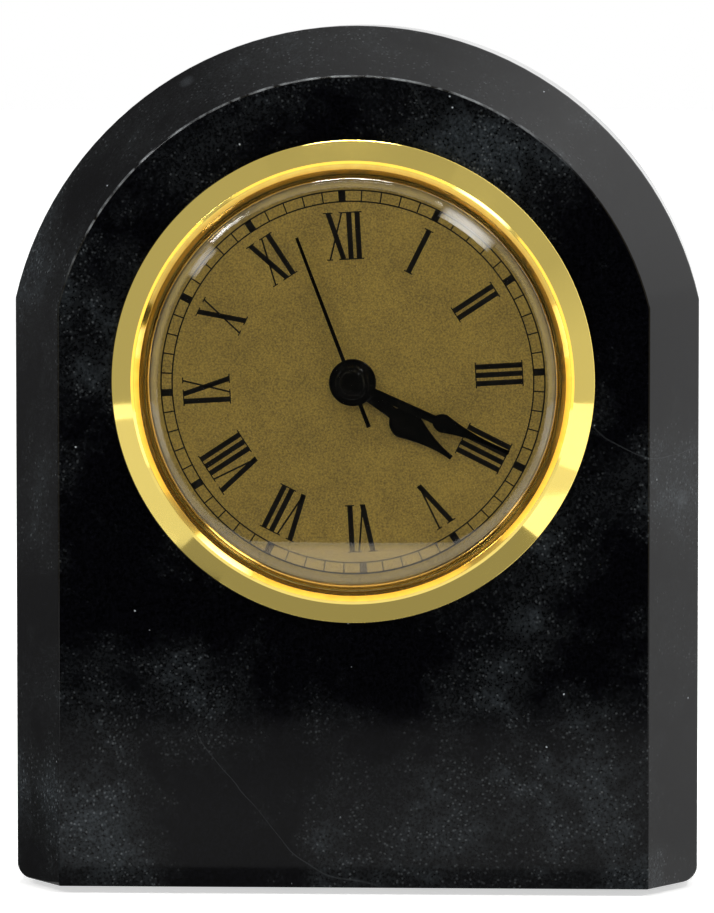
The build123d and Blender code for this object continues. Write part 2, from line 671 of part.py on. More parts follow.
# Quarter-turn hatch over the battery, its lugs hooked in front of the cover
with BuildPart() as battery_hatch:
    rod(battery_place, HATCH_RADIUS, cover_back, lug_back)
    with BuildSketch(turned(battery_place, lug_back, BATTERY_DIRECTION + 90)):
        Circle(HATCH_RADIUS + HATCH_LUG_REACH)
        Rectangle(2 * (HATCH_RADIUS + HATCH_LUG_REACH), HATCH_LUG_WIDTH, mode=Mode.INTERSECT)
    extrude(amount=HATCH_LUG_THICKNESS)
    with BuildSketch(turned(battery_place, cover_back - OVERRUN, BATTERY_DIRECTION)):
        SlotOverall(COIN_SLOT_LENGTH, COIN_SLOT_WIDTH)
    extrude(amount=COIN_SLOT_DEPTH + OVERRUN, mode=Mode.SUBTRACT)

# Motion work
with BuildPart() as hour_wheel:
    toothed(centre, HOUR_WHEEL_TEETH, hour_module, hour_wheel_phase, hour_wheel_back, hour_wheel_front)
    rod(centre, hour_pipe_radius, hour_wheel_back, hour_boss_front)
    rod(centre, hour_bore, hour_wheel_back - OVERRUN, hour_boss_front + OVERRUN, Mode.SUBTRACT)

with BuildPart() as cannon_pinion:
    cannon_teeth_front = minute_wheel_front + PINION_MARGIN
    toothed(centre, CANNON_TEETH, CANNON_MODULE, 0, cannon_teeth_back, cannon_teeth_front)
    rod(centre, cannon_radius, centre_wheel_back, minute_boss_front)
    rod(centre, cannon_bore, centre_wheel_back - OVERRUN, minute_boss_front + OVERRUN, Mode.SUBTRACT)

with BuildPart() as minute_wheel:
    minute_pinion_front = hour_wheel_front + PINION_MARGIN
    toothed(
        minute_place,
        MINUTE_WHEEL_TEETH,
        CANNON_MODULE,
        minute_wheel_phase,
        minute_wheel_back,
        minute_wheel_front,
    )
    toothed(minute_place, MINUTE_PINION_TEETH, hour_module, 0, minute_wheel_front, minute_pinion_front)
    post_bore = MINUTE_POST_RADIUS + PIVOT_CLEARANCE
    rod(minute_place, post_bore, minute_wheel_back - OVERRUN, minute_pinion_front + OVERRUN, Mode.SUBTRACT)

with BuildPart() as setting_pinion:
    toothed(
        setting_place,
        SETTING_PINION_TEETH,
        CANNON_MODULE,
        setting_pinion_phase,
        minute_wheel_back - PINION_MARGIN,
        minute_wheel_front + PINION_MARGIN,
    )
    rod(setting_place, SETTING_STEM_RADIUS, knob_back, minute_wheel_back)
    rod(setting_place, ARBOR_RADIUS, minute_wheel_front, wall_back + PIVOT_DEPTH)

with BuildPart() as setting_knob:
    knob_module = 2 * KNOB_RADIUS / KNOB_RIDGES
    toothed(setting_place, KNOB_RIDGES, knob_module, 0, knob_back, knob_front)
    rod(setting_place, SETTING_STEM_RADIUS, knob_back - OVERRUN, knob_front + OVERRUN, Mode.SUBTRACT)

# Going train
with BuildPart() as centre_wheel:
    toothed(
        centre,
        CENTRE_WHEEL_TEETH,
        centre_module,
        centre_wheel_phase,
        centre_wheel_back,
        centre_wheel_front,
    )
    slip_bore = cannon_radius + CENTRE_SLIP_CLEARANCE
    rod(centre, slip_bore, centre_wheel_back - OVERRUN, centre_wheel_front + OVERRUN, Mode.SUBTRACT)

with BuildPart() as third_wheel:
    toothed(
        third_place, THIRD_WHEEL_TEETH, THIRD_MODULE, third_wheel_phase, third_wheel_back, third_wheel_front
    )
    third_pinion_front = centre_wheel_front + PINION_MARGIN
    toothed(third_place, THIRD_PINION_TEETH, centre_module, 0, third_wheel_front, third_pinion_front)
    rod(third_place, ARBOR_RADIUS, bridge_back, wall_back + PIVOT_DEPTH)

with BuildPart() as seconds_wheel:
    toothed(centre, SECONDS_WHEEL_TEETH, FIFTH_MODULE, 0, seconds_wheel_back, seconds_wheel_front)
    seconds_pinion_front = third_wheel_front + PINION_MARGIN
    toothed(centre, SECONDS_PINION_TEETH, THIRD_MODULE, 0, seconds_wheel_front, seconds_pinion_front)
    rod(centre, SECONDS_ARBOR_RADIUS, seconds_wheel_back, seconds_arbor_front)
    rod(centre, ARBOR_RADIUS, bridge_back, seconds_wheel_back)

with BuildPart() as fifth_wheel:
    toothed(fifth_place, FIFTH_WHEEL_TEETH, ROTOR_MODULE, 0, fifth_wheel_back, fifth_wheel_front)
    fifth_pinion_front = seconds_wheel_front + PINION_MARGIN
    toothed(
        fifth_place,
        FIFTH_PINION_TEETH,
        FIFTH_MODULE,
        fifth_pinion_phase,
        fifth_wheel_front,
        fifth_pinion_front,
    )
    rod(fifth_place, ARBOR_RADIUS, bridge_back, wall_back + PIVOT_DEPTH)

# Rotor of the stepping motor: a magnet ring on a toothed arbor
with BuildPart() as rotor_pinion:
    toothed(
        rotor_place,
        ROTOR_PINION_TEETH,
        ROTOR_MODULE,
        rotor_pinion_phase,
        fifth_wheel_back - PINION_MARGIN,
        fifth_wheel_front + PINION_MARGIN,
    )
    rod(rotor_place, ARBOR_RADIUS, bridge_back, rotor_boss_back + PIVOT_DEPTH)

with BuildPart() as rotor_magnet:
    rod(rotor_place, MAGNET_RADIUS, magnet_back, magnet_front)
    rod(rotor_place, ARBOR_RADIUS, magnet_back - OVERRUN, magnet_front + OVERRUN, Mode.SUBTRACT)

# Stator plate, with two legs down to the ends of the coil's core
with BuildPart() as stator:
    with BuildSketch(on(centre, stator_back)):
        with Locations((0, rotor_place[1])):
            Rectangle(2 * leg_offset + STATOR_LEG_WIDTH, 2 * stator_half_height)
        leg_height = rotor_place[1] - coil_height + CORE_WIDTH / 2
        for stake_place in stake_places:
            with Locations((stake_place[0], coil_height - CORE_WIDTH / 2)):
                Rectangle(STATOR_LEG_WIDTH, leg_height, align=(Align.CENTER, Align.MIN))
        with Locations(rotor_place):
            Circle(stator_hole_radius, mode=Mode.SUBTRACT)
        with Locations(*stake_places):
            Circle(STAKE_RADIUS + STAKE_CLEARANCE, mode=Mode.SUBTRACT)
    extrude(amount=STATOR_THICKNESS)

with BuildPart() as coil_core:
    with BuildSketch(on((0, coil_height), core_back)):
        Rectangle(2 * leg_offset + STATOR_LEG_WIDTH, CORE_WIDTH)
        with Locations((-leg_offset, 0), (leg_offset, 0)):
            Circle(STAKE_RADIUS + STAKE_CLEARANCE, mode=Mode.SUBTRACT)
    extrude(amount=STATOR_THICKNESS)

# Coil: bobbin with square flanges on the core, and its winding as one plain sleeve
coil_end = across_plane(-COIL_LENGTH / 2, coil_height, coil_depth)
with BuildPart() as coil_bobbin:
    barrel_length = COIL_LENGTH - 2 * COIL_FLANGE_THICKNESS
    with BuildSketch(coil_end, coil_end.offset(COIL_LENGTH - COIL_FLANGE_THICKNESS)):
        Rectangle(COIL_FLANGE_SIZE, COIL_FLANGE_SIZE)
    extrude(amount=COIL_FLANGE_THICKNESS)
    with BuildSketch(coil_end.offset(COIL_FLANGE_THICKNESS)):
        Circle(COIL_BARREL_RADIUS)
    extrude(amount=barrel_length)
    with BuildSketch(coil_end.offset(-OVERRUN)):
        Rectangle(STATOR_THICKNESS + 2 * CORE_CLEARANCE, CORE_WIDTH + 2 * CORE_CLEARANCE)
    extrude(amount=COIL_LENGTH + 2 * OVERRUN, mode=Mode.SUBTRACT)

with BuildPart() as coil_winding:
    with BuildSketch(coil_end.offset(COIL_FLANGE_THICKNESS)):
        Circle(COIL_WINDING_RADIUS)
        Circle(COIL_BARREL_RADIUS, mode=Mode.SUBTRACT)
    extrude(amount=barrel_length)

# Bridge over the rear pivots, screwed to the pillars
with BuildPart() as train_bridge:
    with BuildSketch(on(centre, bridge_back)):
        with Locations(*pillars, rotor_place):
            Circle(BRIDGE_MARGIN)
        make_hull()
        with Locations(*pillars):
            Circle(screw_hole_radius, mode=Mode.SUBTRACT)
        with Locations(centre, third_place, fifth_place, rotor_place):
            Circle(pivot_hole_radius, mode=Mode.SUBTRACT)
    extrude(amount=BRIDGE_THICKNESS)

with BuildPart() as bridge_screws:
    for pillar in pillars:
        rod(pillar, SCREW_RADIUS, bridge_back, screw_hole_front - END_PLAY)
        rod(pillar, SCREW_HEAD_RADIUS, bridge_back - SCREW_HEAD_HEIGHT, bridge_back)
        with BuildSketch(on(pillar, bridge_back - SCREW_HEAD_HEIGHT)):
            Rectangle(2 * SCREW_HEAD_RADIUS, SCREW_SLOT_WIDTH)
        extrude(amount=SCREW_SLOT_DEPTH, mode=Mode.SUBTRACT)

# Electronics on the coil's flanges
with BuildPart() as circuit_board:
    with BuildSketch(on(board_centre, board_back)):
        Rectangle(BOARD_WIDTH, BOARD_HEIGHT)
    extrude(amount=BOARD_THICKNESS)

with BuildPart() as chip_cap:
    rod(board_centre, CHIP_CAP_RADIUS, board_back - CHIP_CAP_HEIGHT, board_back)
    fillet(chip_cap.edges().sort_by(Axis.Y)[-1], CHIP_CAP_HEIGHT / 2)

with BuildPart() as quartz_crystal:
    crystal_start = (
        board_end + CRYSTAL_EDGE,
        board_centre[1] - BOARD_HEIGHT / 2 + CRYSTAL_EDGE + CRYSTAL_RADIUS,
        board_front + CRYSTAL_RADIUS,
    )
    with BuildSketch(across_plane(*crystal_start)):
        Circle(CRYSTAL_RADIUS)
    extrude(amount=CRYSTAL_LENGTH)

# Battery and its two leaf contacts
with BuildPart() as battery:
    rod(battery_place, BATTERY_RADIUS, battery_back, battery_front)

with BuildPart() as contact_minus:
    with BuildSketch(turned(battery_place, battery_front, lead_direction)):
        with Locations((0, -CONTACT_SPACING / 2)):
            Rectangle(lead_length, CONTACT_WIDTH, align=(Align.MIN, Align.CENTER))
    extrude(amount=CONTACT_THICKNESS)
    with BuildSketch(turned(battery_place, board_front, lead_direction)):
        with Locations((lead_length, -CONTACT_SPACING / 2)):
            Rectangle(CONTACT_THICKNESS, CONTACT_WIDTH, align=(Align.MAX, Align.CENTER))
    extrude(amount=battery_front - board_front)

with BuildPart() as contact_plus:
    with BuildSketch(turned(battery_place, board_front, lead_direction)):
        with Locations((BATTERY_RADIUS, CONTACT_SPACING / 2)):
            Rectangle(lead_length - BATTERY_RADIUS, CONTACT_WIDTH, align=(Align.MIN, Align.CENTER))
    extrude(amount=CONTACT_THICKNESS)
    with BuildSketch(turned(battery_place, board_front, lead_direction)):
        with Locations((BATTERY_RADIUS, CONTACT_SPACING / 2)):
            Rectangle(CONTACT_THICKNESS, CONTACT_WIDTH, align=(Align.MIN, Align.CENTER))
    extrude(amount=BATTERY_HEIGHT / 2)

pieces = {
    "stone_case": stone_case,
    "felt_base": felt_base,
    "bezel": bezel,
    "lens": lens,
    "dial": dial,
    "hour_hand": hour_hand,
    "minute_hand": minute_hand,
    "second_hand": second_hand,
    "gasket_band": gasket_band,
    "movement_cup": movement_cup,
    "rear_cover": rear_cover,
    "battery_hatch": battery_hatch,
    "hour_wheel": hour_wheel,
    "cannon_pinion": cannon_pinion,
    "minute_wheel": minute_wheel,
    "setting_pinion": setting_pinion,
    "setting_knob": setting_knob,
    "centre_wheel": centre_wheel,
    "third_wheel": third_wheel,
    "seconds_wheel": seconds_wheel,
    "fifth_wheel": fifth_wheel,
    "rotor_pinion": rotor_pinion,
    "rotor_magnet": rotor_magnet,
    "stator": stator,
    "coil_core": coil_core,
    "coil_bobbin": coil_bobbin,
    "coil_winding": coil_winding,
    "train_bridge": train_bridge,
    "bridge_screws": bridge_screws,
    "circuit_board": circuit_board,
    "chip_cap": chip_cap,
    "quartz_crystal": quartz_crystal,
    "battery": battery,
    "contact_minus": contact_minus,
    "contact_plus": contact_plus,
}

os.makedirs("parts", exist_ok=True)
for name, piece in pieces.items():
    piece.part.label = name
    export_step(piece.part, f"parts/{name}.step")
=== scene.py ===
"""Looks of an arched black marble shelf clock with a gold quartz insert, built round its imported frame.

Sizes are in millimetres and MM turns them into the metres that the frame uses.
The clock faces -Y and stands on Z = 0. The insert's own axes are right, up and ahead of the stone.
"""
import json
import math

import bmesh
import bpy
from mathutils import Matrix, Vector, noise


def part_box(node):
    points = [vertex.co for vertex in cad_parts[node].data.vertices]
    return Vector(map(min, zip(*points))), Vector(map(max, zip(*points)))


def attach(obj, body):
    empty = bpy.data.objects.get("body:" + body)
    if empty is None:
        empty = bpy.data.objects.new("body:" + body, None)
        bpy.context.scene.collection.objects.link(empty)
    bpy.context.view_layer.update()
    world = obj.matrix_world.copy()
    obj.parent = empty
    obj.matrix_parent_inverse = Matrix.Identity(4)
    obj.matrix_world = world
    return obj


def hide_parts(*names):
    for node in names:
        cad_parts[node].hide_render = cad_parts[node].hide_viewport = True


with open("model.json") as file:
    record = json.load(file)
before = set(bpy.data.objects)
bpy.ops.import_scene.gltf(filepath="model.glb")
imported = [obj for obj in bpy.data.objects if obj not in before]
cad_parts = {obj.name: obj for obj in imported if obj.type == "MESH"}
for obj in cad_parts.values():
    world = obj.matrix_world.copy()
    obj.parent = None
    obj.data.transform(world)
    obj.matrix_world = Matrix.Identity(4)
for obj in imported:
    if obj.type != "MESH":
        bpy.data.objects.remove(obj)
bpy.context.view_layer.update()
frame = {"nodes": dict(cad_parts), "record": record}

MM = 0.001

# Turn of the whole insert in its bore, as in the photograph
INSERT_TURN = math.radians(3.3)

# Where in the stone's own pattern the block is cut, in metres
STONE_CUT = (1.24, 0.68, 0.92)

# Softened edges
STONE_BEVEL = 7.2
STONE_ARRIS = 0.2
HAND_ARRIS = 0.1
MOULDED_ARRIS = 0.18

# Painted highlight on the arch's arris, a pale glint line in the stone's colour: its strength, the clock
# angle of its middle, and where it fades out along the arch, across its line and behind the stone's front
ARRIS_GLINT_STRENGTH = 0.34
ARRIS_MIDDLE = math.radians(-15)
ARRIS_FADE = (math.radians(44), math.radians(56))
ARRIS_LINE = (0.08, 0.2)
ARRIS_BEHIND = (0.4, 0.6)

# Meshes: how near points are one, what is a sliver, a flat or a corner, and what shades as a crease
WELD = 0.001
SLIVER = 0.0005
FLAT_ANGLE = math.radians(0.8)
CORNER_ANGLE = 0.45
CREASE_ANGLE = math.radians(40)
TURNED_SEGMENTS = 240

# Bezel, radius and height forward of the stone
BEZEL_RADIUS = 35.0
BEZEL_RIM = 1.0
BEZEL_CREST_RADIUS = 31.85
BEZEL_CREST = 3.5
BEZEL_CREST_FLAT = 0.3
BEZEL_LEDGE = 0.6
BEZEL_LEDGE_RISE = 0.7
BEZEL_FACET = 0.45
BEZEL_FACET_DROP = 0.16
BEZEL_LIP_RADIUS = 30.2
BEZEL_LIP = 2.5
BEZEL_GROOVE_RADIUS = 31.4
BEZEL_WALL = 0.8
BEZEL_FOOT_RADIUS = 29.15
BEZEL_CRIMP = 0.4

# Painted reflection of gold in gold, amber in the bezel's groove: the radii between which it clears, and
# how ragged its edge is
AMBER_INNER = 31.2
AMBER_OUTER = 32.1
AMBER_RAGGED = 0.7

# Lens
LENS_RADIUS = 30.15
LENS_FLANGE_RADIUS = 31.3
LENS_FLANGE = 2.0
LENS_WALL = 0.7
LENS_SHOULDER = 2.4
LENS_DOME = 300.0
LENS_SEAT = 0.02
SHOULDER_STEPS = 12
DOME_STEPS = 32

# Button on the second hand's cap
BUTTON_SEAT_RADIUS = 2.48
BUTTON_FOOT_RADIUS = 1.9
BUTTON_TOP_RADIUS = 1.8
BUTTON_SUNK = 0.5
BUTTON_SEAT = 0.02
BUTTON_SHOULDER = 0.25
BUTTON_TOP = 0.32

# Printing on the dial
INK = 0.02
INK_STEP = 0.05
SERIF_INK = 0.9
NUMERAL_FOOT = 17.7
NUMERAL_HEIGHT = 6.9
STROKE = 0.76
HAIRLINE = 0.26
SERIF = 0.17
SERIF_REACH = 0.3
TRACK_OUTER = 27.7
TRACK_INNER = 26.1
TRACK_LINE = 0.2
TRACK_BLOCK = 1.04
MINUTES = 60
MINUTES_PER_BLOCK = 5.0
HOURS = ("XII", "I", "II", "III", "IIII", "V", "VI", "VII", "VIII", "IX", "X", "XI")

# Felt under the base
FELT_CORNER = 3.0
FELT_EDGE = 0.3
FELT_RAGGED = 0.004
FELT_SPACING = 0.8

# Where the insert sits, read from the frame
stone_low, stone_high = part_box("stone_case")
bezel_low, bezel_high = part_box("bezel")
dial_low, dial_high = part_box("dial")
felt_low, felt_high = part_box("felt_base")
axis = (bezel_low + bezel_high) / 2
front = stone_low.y
dial_front = (front - dial_low.y) / MM
turn_cos = math.cos(INSERT_TURN)
turn_sin = math.sin(INSERT_TURN)
insert_frame = Matrix(
    (
        (turn_cos * MM, -turn_sin * MM, 0, axis.x),
        (0, 0, -MM, front),
        (turn_sin * MM, turn_cos * MM, 0, axis.z),
        (0, 0, 0, 1),
    )
)


def colour(code):
    """Linear colour, with alpha, of an sRGB hex code."""
    linear = []
    for at in (1, 3, 5):
        part = int(code[at:at + 2], 16) / 255
        linear.append(part / 12.92 if part <= 0.04045 else ((part + 0.055) / 1.055) ** 2.4)
    return linear + [1]


def add(tree, kind, settings=None, links=None):
    """Adds a node with its settings (properties by name, sockets by name or place) and its links."""
    node = tree.nodes.new(kind)
    for key, value in (settings or {}).items():
        if isinstance(key, str) and hasattr(node, key):
            setattr(node, key, value)
        else:
            node.inputs[key].default_value = value
    for key, socket in (links or {}).items():
        tree.links.new(socket, node.inputs[key])
    return node


def new_material(name, settings):
    """A material, its tree and its Principled shader, which has these settings."""
    material = bpy.data.materials.new(name)
    material.use_nodes = True
    tree = material.node_tree
    shader = tree.nodes["Principled BSDF"]
    for key, value in settings.items():
        shader.inputs[key].default_value = value
    return material, tree, shader


def set_ramp(node, stops):
    """Gives a colour ramp these places and colours."""
    ramp = node.color_ramp
    while len(ramp.elements) < len(stops):
        ramp.elements.new(1)
    for element, (place, code) in zip(ramp.elements, stops):
        element.position = place
        element.color = colour(code)


def grained(name, settings, low, high, grain, contrast=(0.35, 0.65), bump=0.0, rough=None):
    """A finish whose colour runs between two codes over a grain of that many millimetres.

    bump is the height in millimetres of the grain's relief, and rough its least and most roughness.
    """
    material, tree, shader = new_material(name, settings)
    place = add(tree, "ShaderNodeTexCoord")
    cloud = add(
        tree,
        "ShaderNodeTexNoise",
        {"Scale": 1 / (grain * MM), "Detail": 4.0, "Roughness": 0.6},
        {"Vector": place.outputs["Object"]},
    )
    ramp = add(tree, "ShaderNodeValToRGB", links={"Fac": cloud.outputs["Fac"]})
    set_ramp(ramp, ((contrast[0], low), (contrast[1], high)))
    tree.links.new(ramp.outputs["Color"], shader.inputs["Base Color"])
    if rough:
        gloss = add(
            tree,
            "ShaderNodeMapRange",
            {"From Min": contrast[0], "From Max": contrast[1], "To Min": rough[0], "To Max": rough[1]},
            {"Value": cloud.outputs["Fac"]},
        )
        tree.links.new(gloss.outputs["Result"], shader.inputs["Roughness"])
    if bump:
        relief = add(
            tree,
            "ShaderNodeBump",
            {"Strength": 1.0, "Distance": bump * MM},
            {"Height": cloud.outputs["Fac"]},
        )
        tree.links.new(relief.outputs["Normal"], shader.inputs["Normal"])
    return material


def polished_black_marble():
    """Near-black stone with cloudy patches of crystals, pale blotches, white specks and hairline veins."""
    material, tree, shader = new_material("polished_black_marble", {"Specular IOR Level": 0.12})
    # This block is cut from a stretch of the stone that is cloudy low down and near the top
    spot = add(tree, "ShaderNodeTexCoord").outputs["Object"]
    place = add(
        tree,
        "ShaderNodeVectorMath",
        {"operation": "ADD", 1: STONE_CUT},
        {0: spot},
    ).outputs["Vector"]
    drift = add(tree, "ShaderNodeTexNoise", {"Scale": 32.0, "Detail": 3.0}, {"Vector": place})
    shift = add(
        tree,
        "ShaderNodeVectorMath",
        {"operation": "MULTIPLY_ADD", 1: (0.007, 0.007, 0.007)},
        {0: drift.outputs["Color"], 2: place},
    ).outputs["Vector"]
    clouds = add(
        tree,
        "ShaderNodeTexNoise",
        {"Scale": 40.0, "Detail": 7.0, "Roughness": 0.66, "Distortion": 0.15},
        {"Vector": shift},
    ).outputs["Fac"]
    body = add(tree, "ShaderNodeValToRGB", links={"Fac": clouds})
    set_ramp(body, ((0.44, "#020203"), (0.55, "#090a0b"), (0.68, "#1b1e20"), (0.84, "#3a3e41")))
    # Crystals of about 0.4 mm, the finest that shows at this size
    crystals = add(
        tree,
        "ShaderNodeTexNoise",
        {"Scale": 2300.0, "Detail": 2.0, "Roughness": 0.6},
        {"Vector": place},
    )
    sparkle = add(
        tree,
        "ShaderNodeMapRange",
        {"From Min": 0.3, "From Max": 0.72, "To Min": 0.2, "To Max": 2.4},
        {"Value": crystals.outputs["Fac"]},
    )
    surface = add(
        tree,
        "ShaderNodeMix",
        {"data_type": "RGBA", "blend_type": "MULTIPLY", "clamp_result": True, 0: 1.0},
        {6: body.outputs["Color"], 7: sparkle.outputs["Result"]},
    ).outputs[2]
    hazy = add(
        tree,
        "ShaderNodeMapRange",
        {"From Min": 0.44, "From Max": 0.7},
        {"Value": clouds},
    ).outputs["Result"]
    # Blotches, specks and salt: how close, how rare, inner and outer radius, strength, colour and where
    for scale, least, inner, outer, strength, code, where in (
        (95.0, 0.8, 0.0, 0.17, 0.16, "#80868c", None),
        (430.0, 0.84, 0.03, 0.08, 0.9, "#8f9498", None),
        (1500.0, 0.5, 0.05, 0.34, 0.34, "#7c8184", hazy),
    ):
        cells = add(tree, "ShaderNodeTexVoronoi", {"Scale": scale}, {"Vector": shift})
        few = add(
            tree,
            "ShaderNodeMath",
            {"operation": "GREATER_THAN", 1: least},
            {0: cells.outputs["Color"]},
        )
        dots = add(
            tree,
            "ShaderNodeMapRange",
            {"From Min": inner, "From Max": outer, "To Min": strength, "To Max": 0.0},
            {"Value": cells.outputs["Distance"]},
        )
        marks = add(
            tree,
            "ShaderNodeMath",
            {"operation": "MULTIPLY"},
            {0: few.outputs[0], 1: dots.outputs["Result"]},
        ).outputs[0]
        if where:
            marks = add(
                tree,
                "ShaderNodeMath",
                {"operation": "MULTIPLY"},
                {0: marks, 1: where},
            ).outputs[0]
        surface = add(
            tree,
            "ShaderNodeMix",
            {"data_type": "RGBA", 7: colour(code)},
            {0: marks, 6: surface},
        ).outputs[2]
    # Hairline veins where a slow noise crosses one level, in patches
    seams = add(
        tree,
        "ShaderNodeTexNoise",
        {"Scale": 11.0, "Detail": 2.0, "Roughness": 0.4},
        {"Vector": shift},
    )
    away = add(tree, "ShaderNodeMath", {"operation": "SUBTRACT", 1: 0.52}, {0: seams.outputs["Fac"]})
    width = add(tree, "ShaderNodeMath", {"operation": "ABSOLUTE"}, {0: away.outputs[0]})
    line = add(
        tree,
        "ShaderNodeMapRange",
        {"From Min": 0.0, "From Max": 0.0011, "To Min": 0.05, "To Max": 0.0},
        {"Value": width.outputs[0]},
    )
    patches = add(
        tree,
        "ShaderNodeMapRange",
        {"From Min": 0.5, "From Max": 0.6},
        {"Value": drift.outputs["Fac"]},
    )
    veins = add(
        tree,
        "ShaderNodeMath",
        {"operation": "MULTIPLY"},
        {0: line.outputs["Result"], 1: patches.outputs["Result"]},
    )
    veined = add(
        tree,
        "ShaderNodeMix",
        {"data_type": "RGBA", 7: colour("#8f9498")},
        {0: veins.outputs[0], 6: surface},
    )
    # Painted highlight: a pale glint line on the arris between face and bevel, broken up by noise round
    # the top of the arch
    spoke = add(
        tree,
        "ShaderNodeVectorMath",
        {"operation": "MULTIPLY_ADD", 1: (1, 0, 1), 2: (-axis.x, 0, -axis.z)},
        {0: spot},
    ).outputs["Vector"]
    reach = add(tree, "ShaderNodeVectorMath", {"operation": "LENGTH"}, {0: spoke}).outputs["Value"]
    arris = stone_high.z - axis.z - STONE_BEVEL * MM
    beside = add(tree, "ShaderNodeMath", {"operation": "SUBTRACT", 1: arris}, {0: reach})
    off = add(tree, "ShaderNodeMath", {"operation": "ABSOLUTE"}, {0: beside.outputs[0]})
    edge = add(
        tree,
        "ShaderNodeMapRange",
        {
            "From Min": ARRIS_LINE[0] * MM,
            "From Max": ARRIS_LINE[1] * MM,
            "To Min": ARRIS_GLINT_STRENGTH,
            "To Max": 0.0,
        },
        {"Value": off.outputs[0]},
    ).outputs["Result"]
    glint_breaks = add(tree, "ShaderNodeTexNoise", {"Scale": 420.0, "Detail": 3.0}, {"Vector": spot})
    ahead = add(tree, "ShaderNodeVectorMath", {"operation": "DOT_PRODUCT", 1: (0, -1, 0)}, {0: spot})
    upward = add(
        tree,
        "ShaderNodeVectorMath",
        {"operation": "DOT_PRODUCT", 1: (math.sin(ARRIS_MIDDLE), 0, math.cos(ARRIS_MIDDLE))},
        {0: spoke},
    )
    for value, low, high in (
        (glint_breaks.outputs["Fac"], 0.42, 0.64),
        (ahead.outputs["Value"], -front - ARRIS_BEHIND[1] * MM, -front - ARRIS_BEHIND[0] * MM),
        (upward.outputs["Value"], arris * math.cos(ARRIS_FADE[1]), arris * math.cos(ARRIS_FADE[0])),
    ):
        part = add(tree, "ShaderNodeMapRange", {"From Min": low, "From Max": high}, {"Value": value})
        edge = add(
            tree,
            "ShaderNodeMath",
            {"operation": "MULTIPLY"},
            {0: edge, 1: part.outputs["Result"]},
        ).outputs[0]
    # The painted glint is mixed into the stone's base colour
    glint_painted = add(
        tree,
        "ShaderNodeMix",
        {"data_type": "RGBA", 7: colour("#b4b8ba")},
        {0: edge, 6: veined.outputs[2]},
    )
    tree.links.new(glint_painted.outputs[2], shader.inputs["Base Color"])
    gloss = add(
        tree,
        "ShaderNodeMapRange",
        {"From Min": 0.35, "From Max": 0.8, "To Min": 0.06, "To Max": 0.14},
        {"Value": clouds},
    )
    tree.links.new(gloss.outputs["Result"], shader.inputs["Roughness"])
    polish = add(tree, "ShaderNodeTexNoise", {"Scale": 130.0, "Detail": 1.0}, {"Vector": place})
    waves = add(
        tree,
        "ShaderNodeBump",
        {"Strength": 1.0, "Distance": 0.004 * MM},
        {"Height": polish.outputs["Fac"]},
    )
    tree.links.new(waves.outputs["Normal"], shader.inputs["Normal"])
    return material


def satin_gold_dial():
    """Satin gold paint of fine grain, with a few bright flecks in it."""
    material, tree, shader = new_material(
        "satin_gold_dial_paint",
        {"Metallic": 0.2, "Roughness": 0.45, "Specular IOR Level": 0.3},
    )
    place = add(tree, "ShaderNodeTexCoord").outputs["Object"]
    fine = add(tree, "ShaderNodeTexNoise", {"Scale": 3800.0, "Detail": 2.0}, {"Vector": place})
    aged = add(tree, "ShaderNodeTexNoise", {"Scale": 160.0, "Detail": 4.0}, {"Vector": place})
    grain = fine.outputs["Fac"]
    tone = add(
        tree,
        "ShaderNodeMath",
        {"operation": "MULTIPLY_ADD", 1: 0.35},
        {0: aged.outputs["Fac"], 2: grain},
    )
    paint = add(tree, "ShaderNodeValToRGB", links={"Fac": tone.outputs[0]})
    set_ramp(paint, ((0.505, "#54461a"), (0.845, "#776528")))
    cells = add(tree, "ShaderNodeTexVoronoi", {"Scale": 830.0}, {"Vector": place})
    few = add(
        tree,
        "ShaderNodeMath",
        {"operation": "GREATER_THAN", 1: 0.84},
        {0: cells.outputs["Color"]},
    )
    dots = add(
        tree,
        "ShaderNodeMapRange",
        {"From Min": 0.06, "From Max": 0.17, "To Min": 0.8, "To Max": 0.0},
        {"Value": cells.outputs["Distance"]},
    )
    flecks = add(
        tree,
        "ShaderNodeMath",
        {"operation": "MULTIPLY"},
        {0: few.outputs[0], 1: dots.outputs["Result"]},
    )
    flecked = add(
        tree,
        "ShaderNodeMix",
        {"data_type": "RGBA", 7: colour("#efe6c4")},
        {0: flecks.outputs[0], 6: paint.outputs["Color"]},
    )
    tree.links.new(flecked.outputs[2], shader.inputs["Base Color"])
    relief = add(tree, "ShaderNodeBump", {"Strength": 1.0, "Distance": 0.002 * MM}, {"Height": grain})
    tree.links.new(relief.outputs["Normal"], shader.inputs["Normal"])
    return material


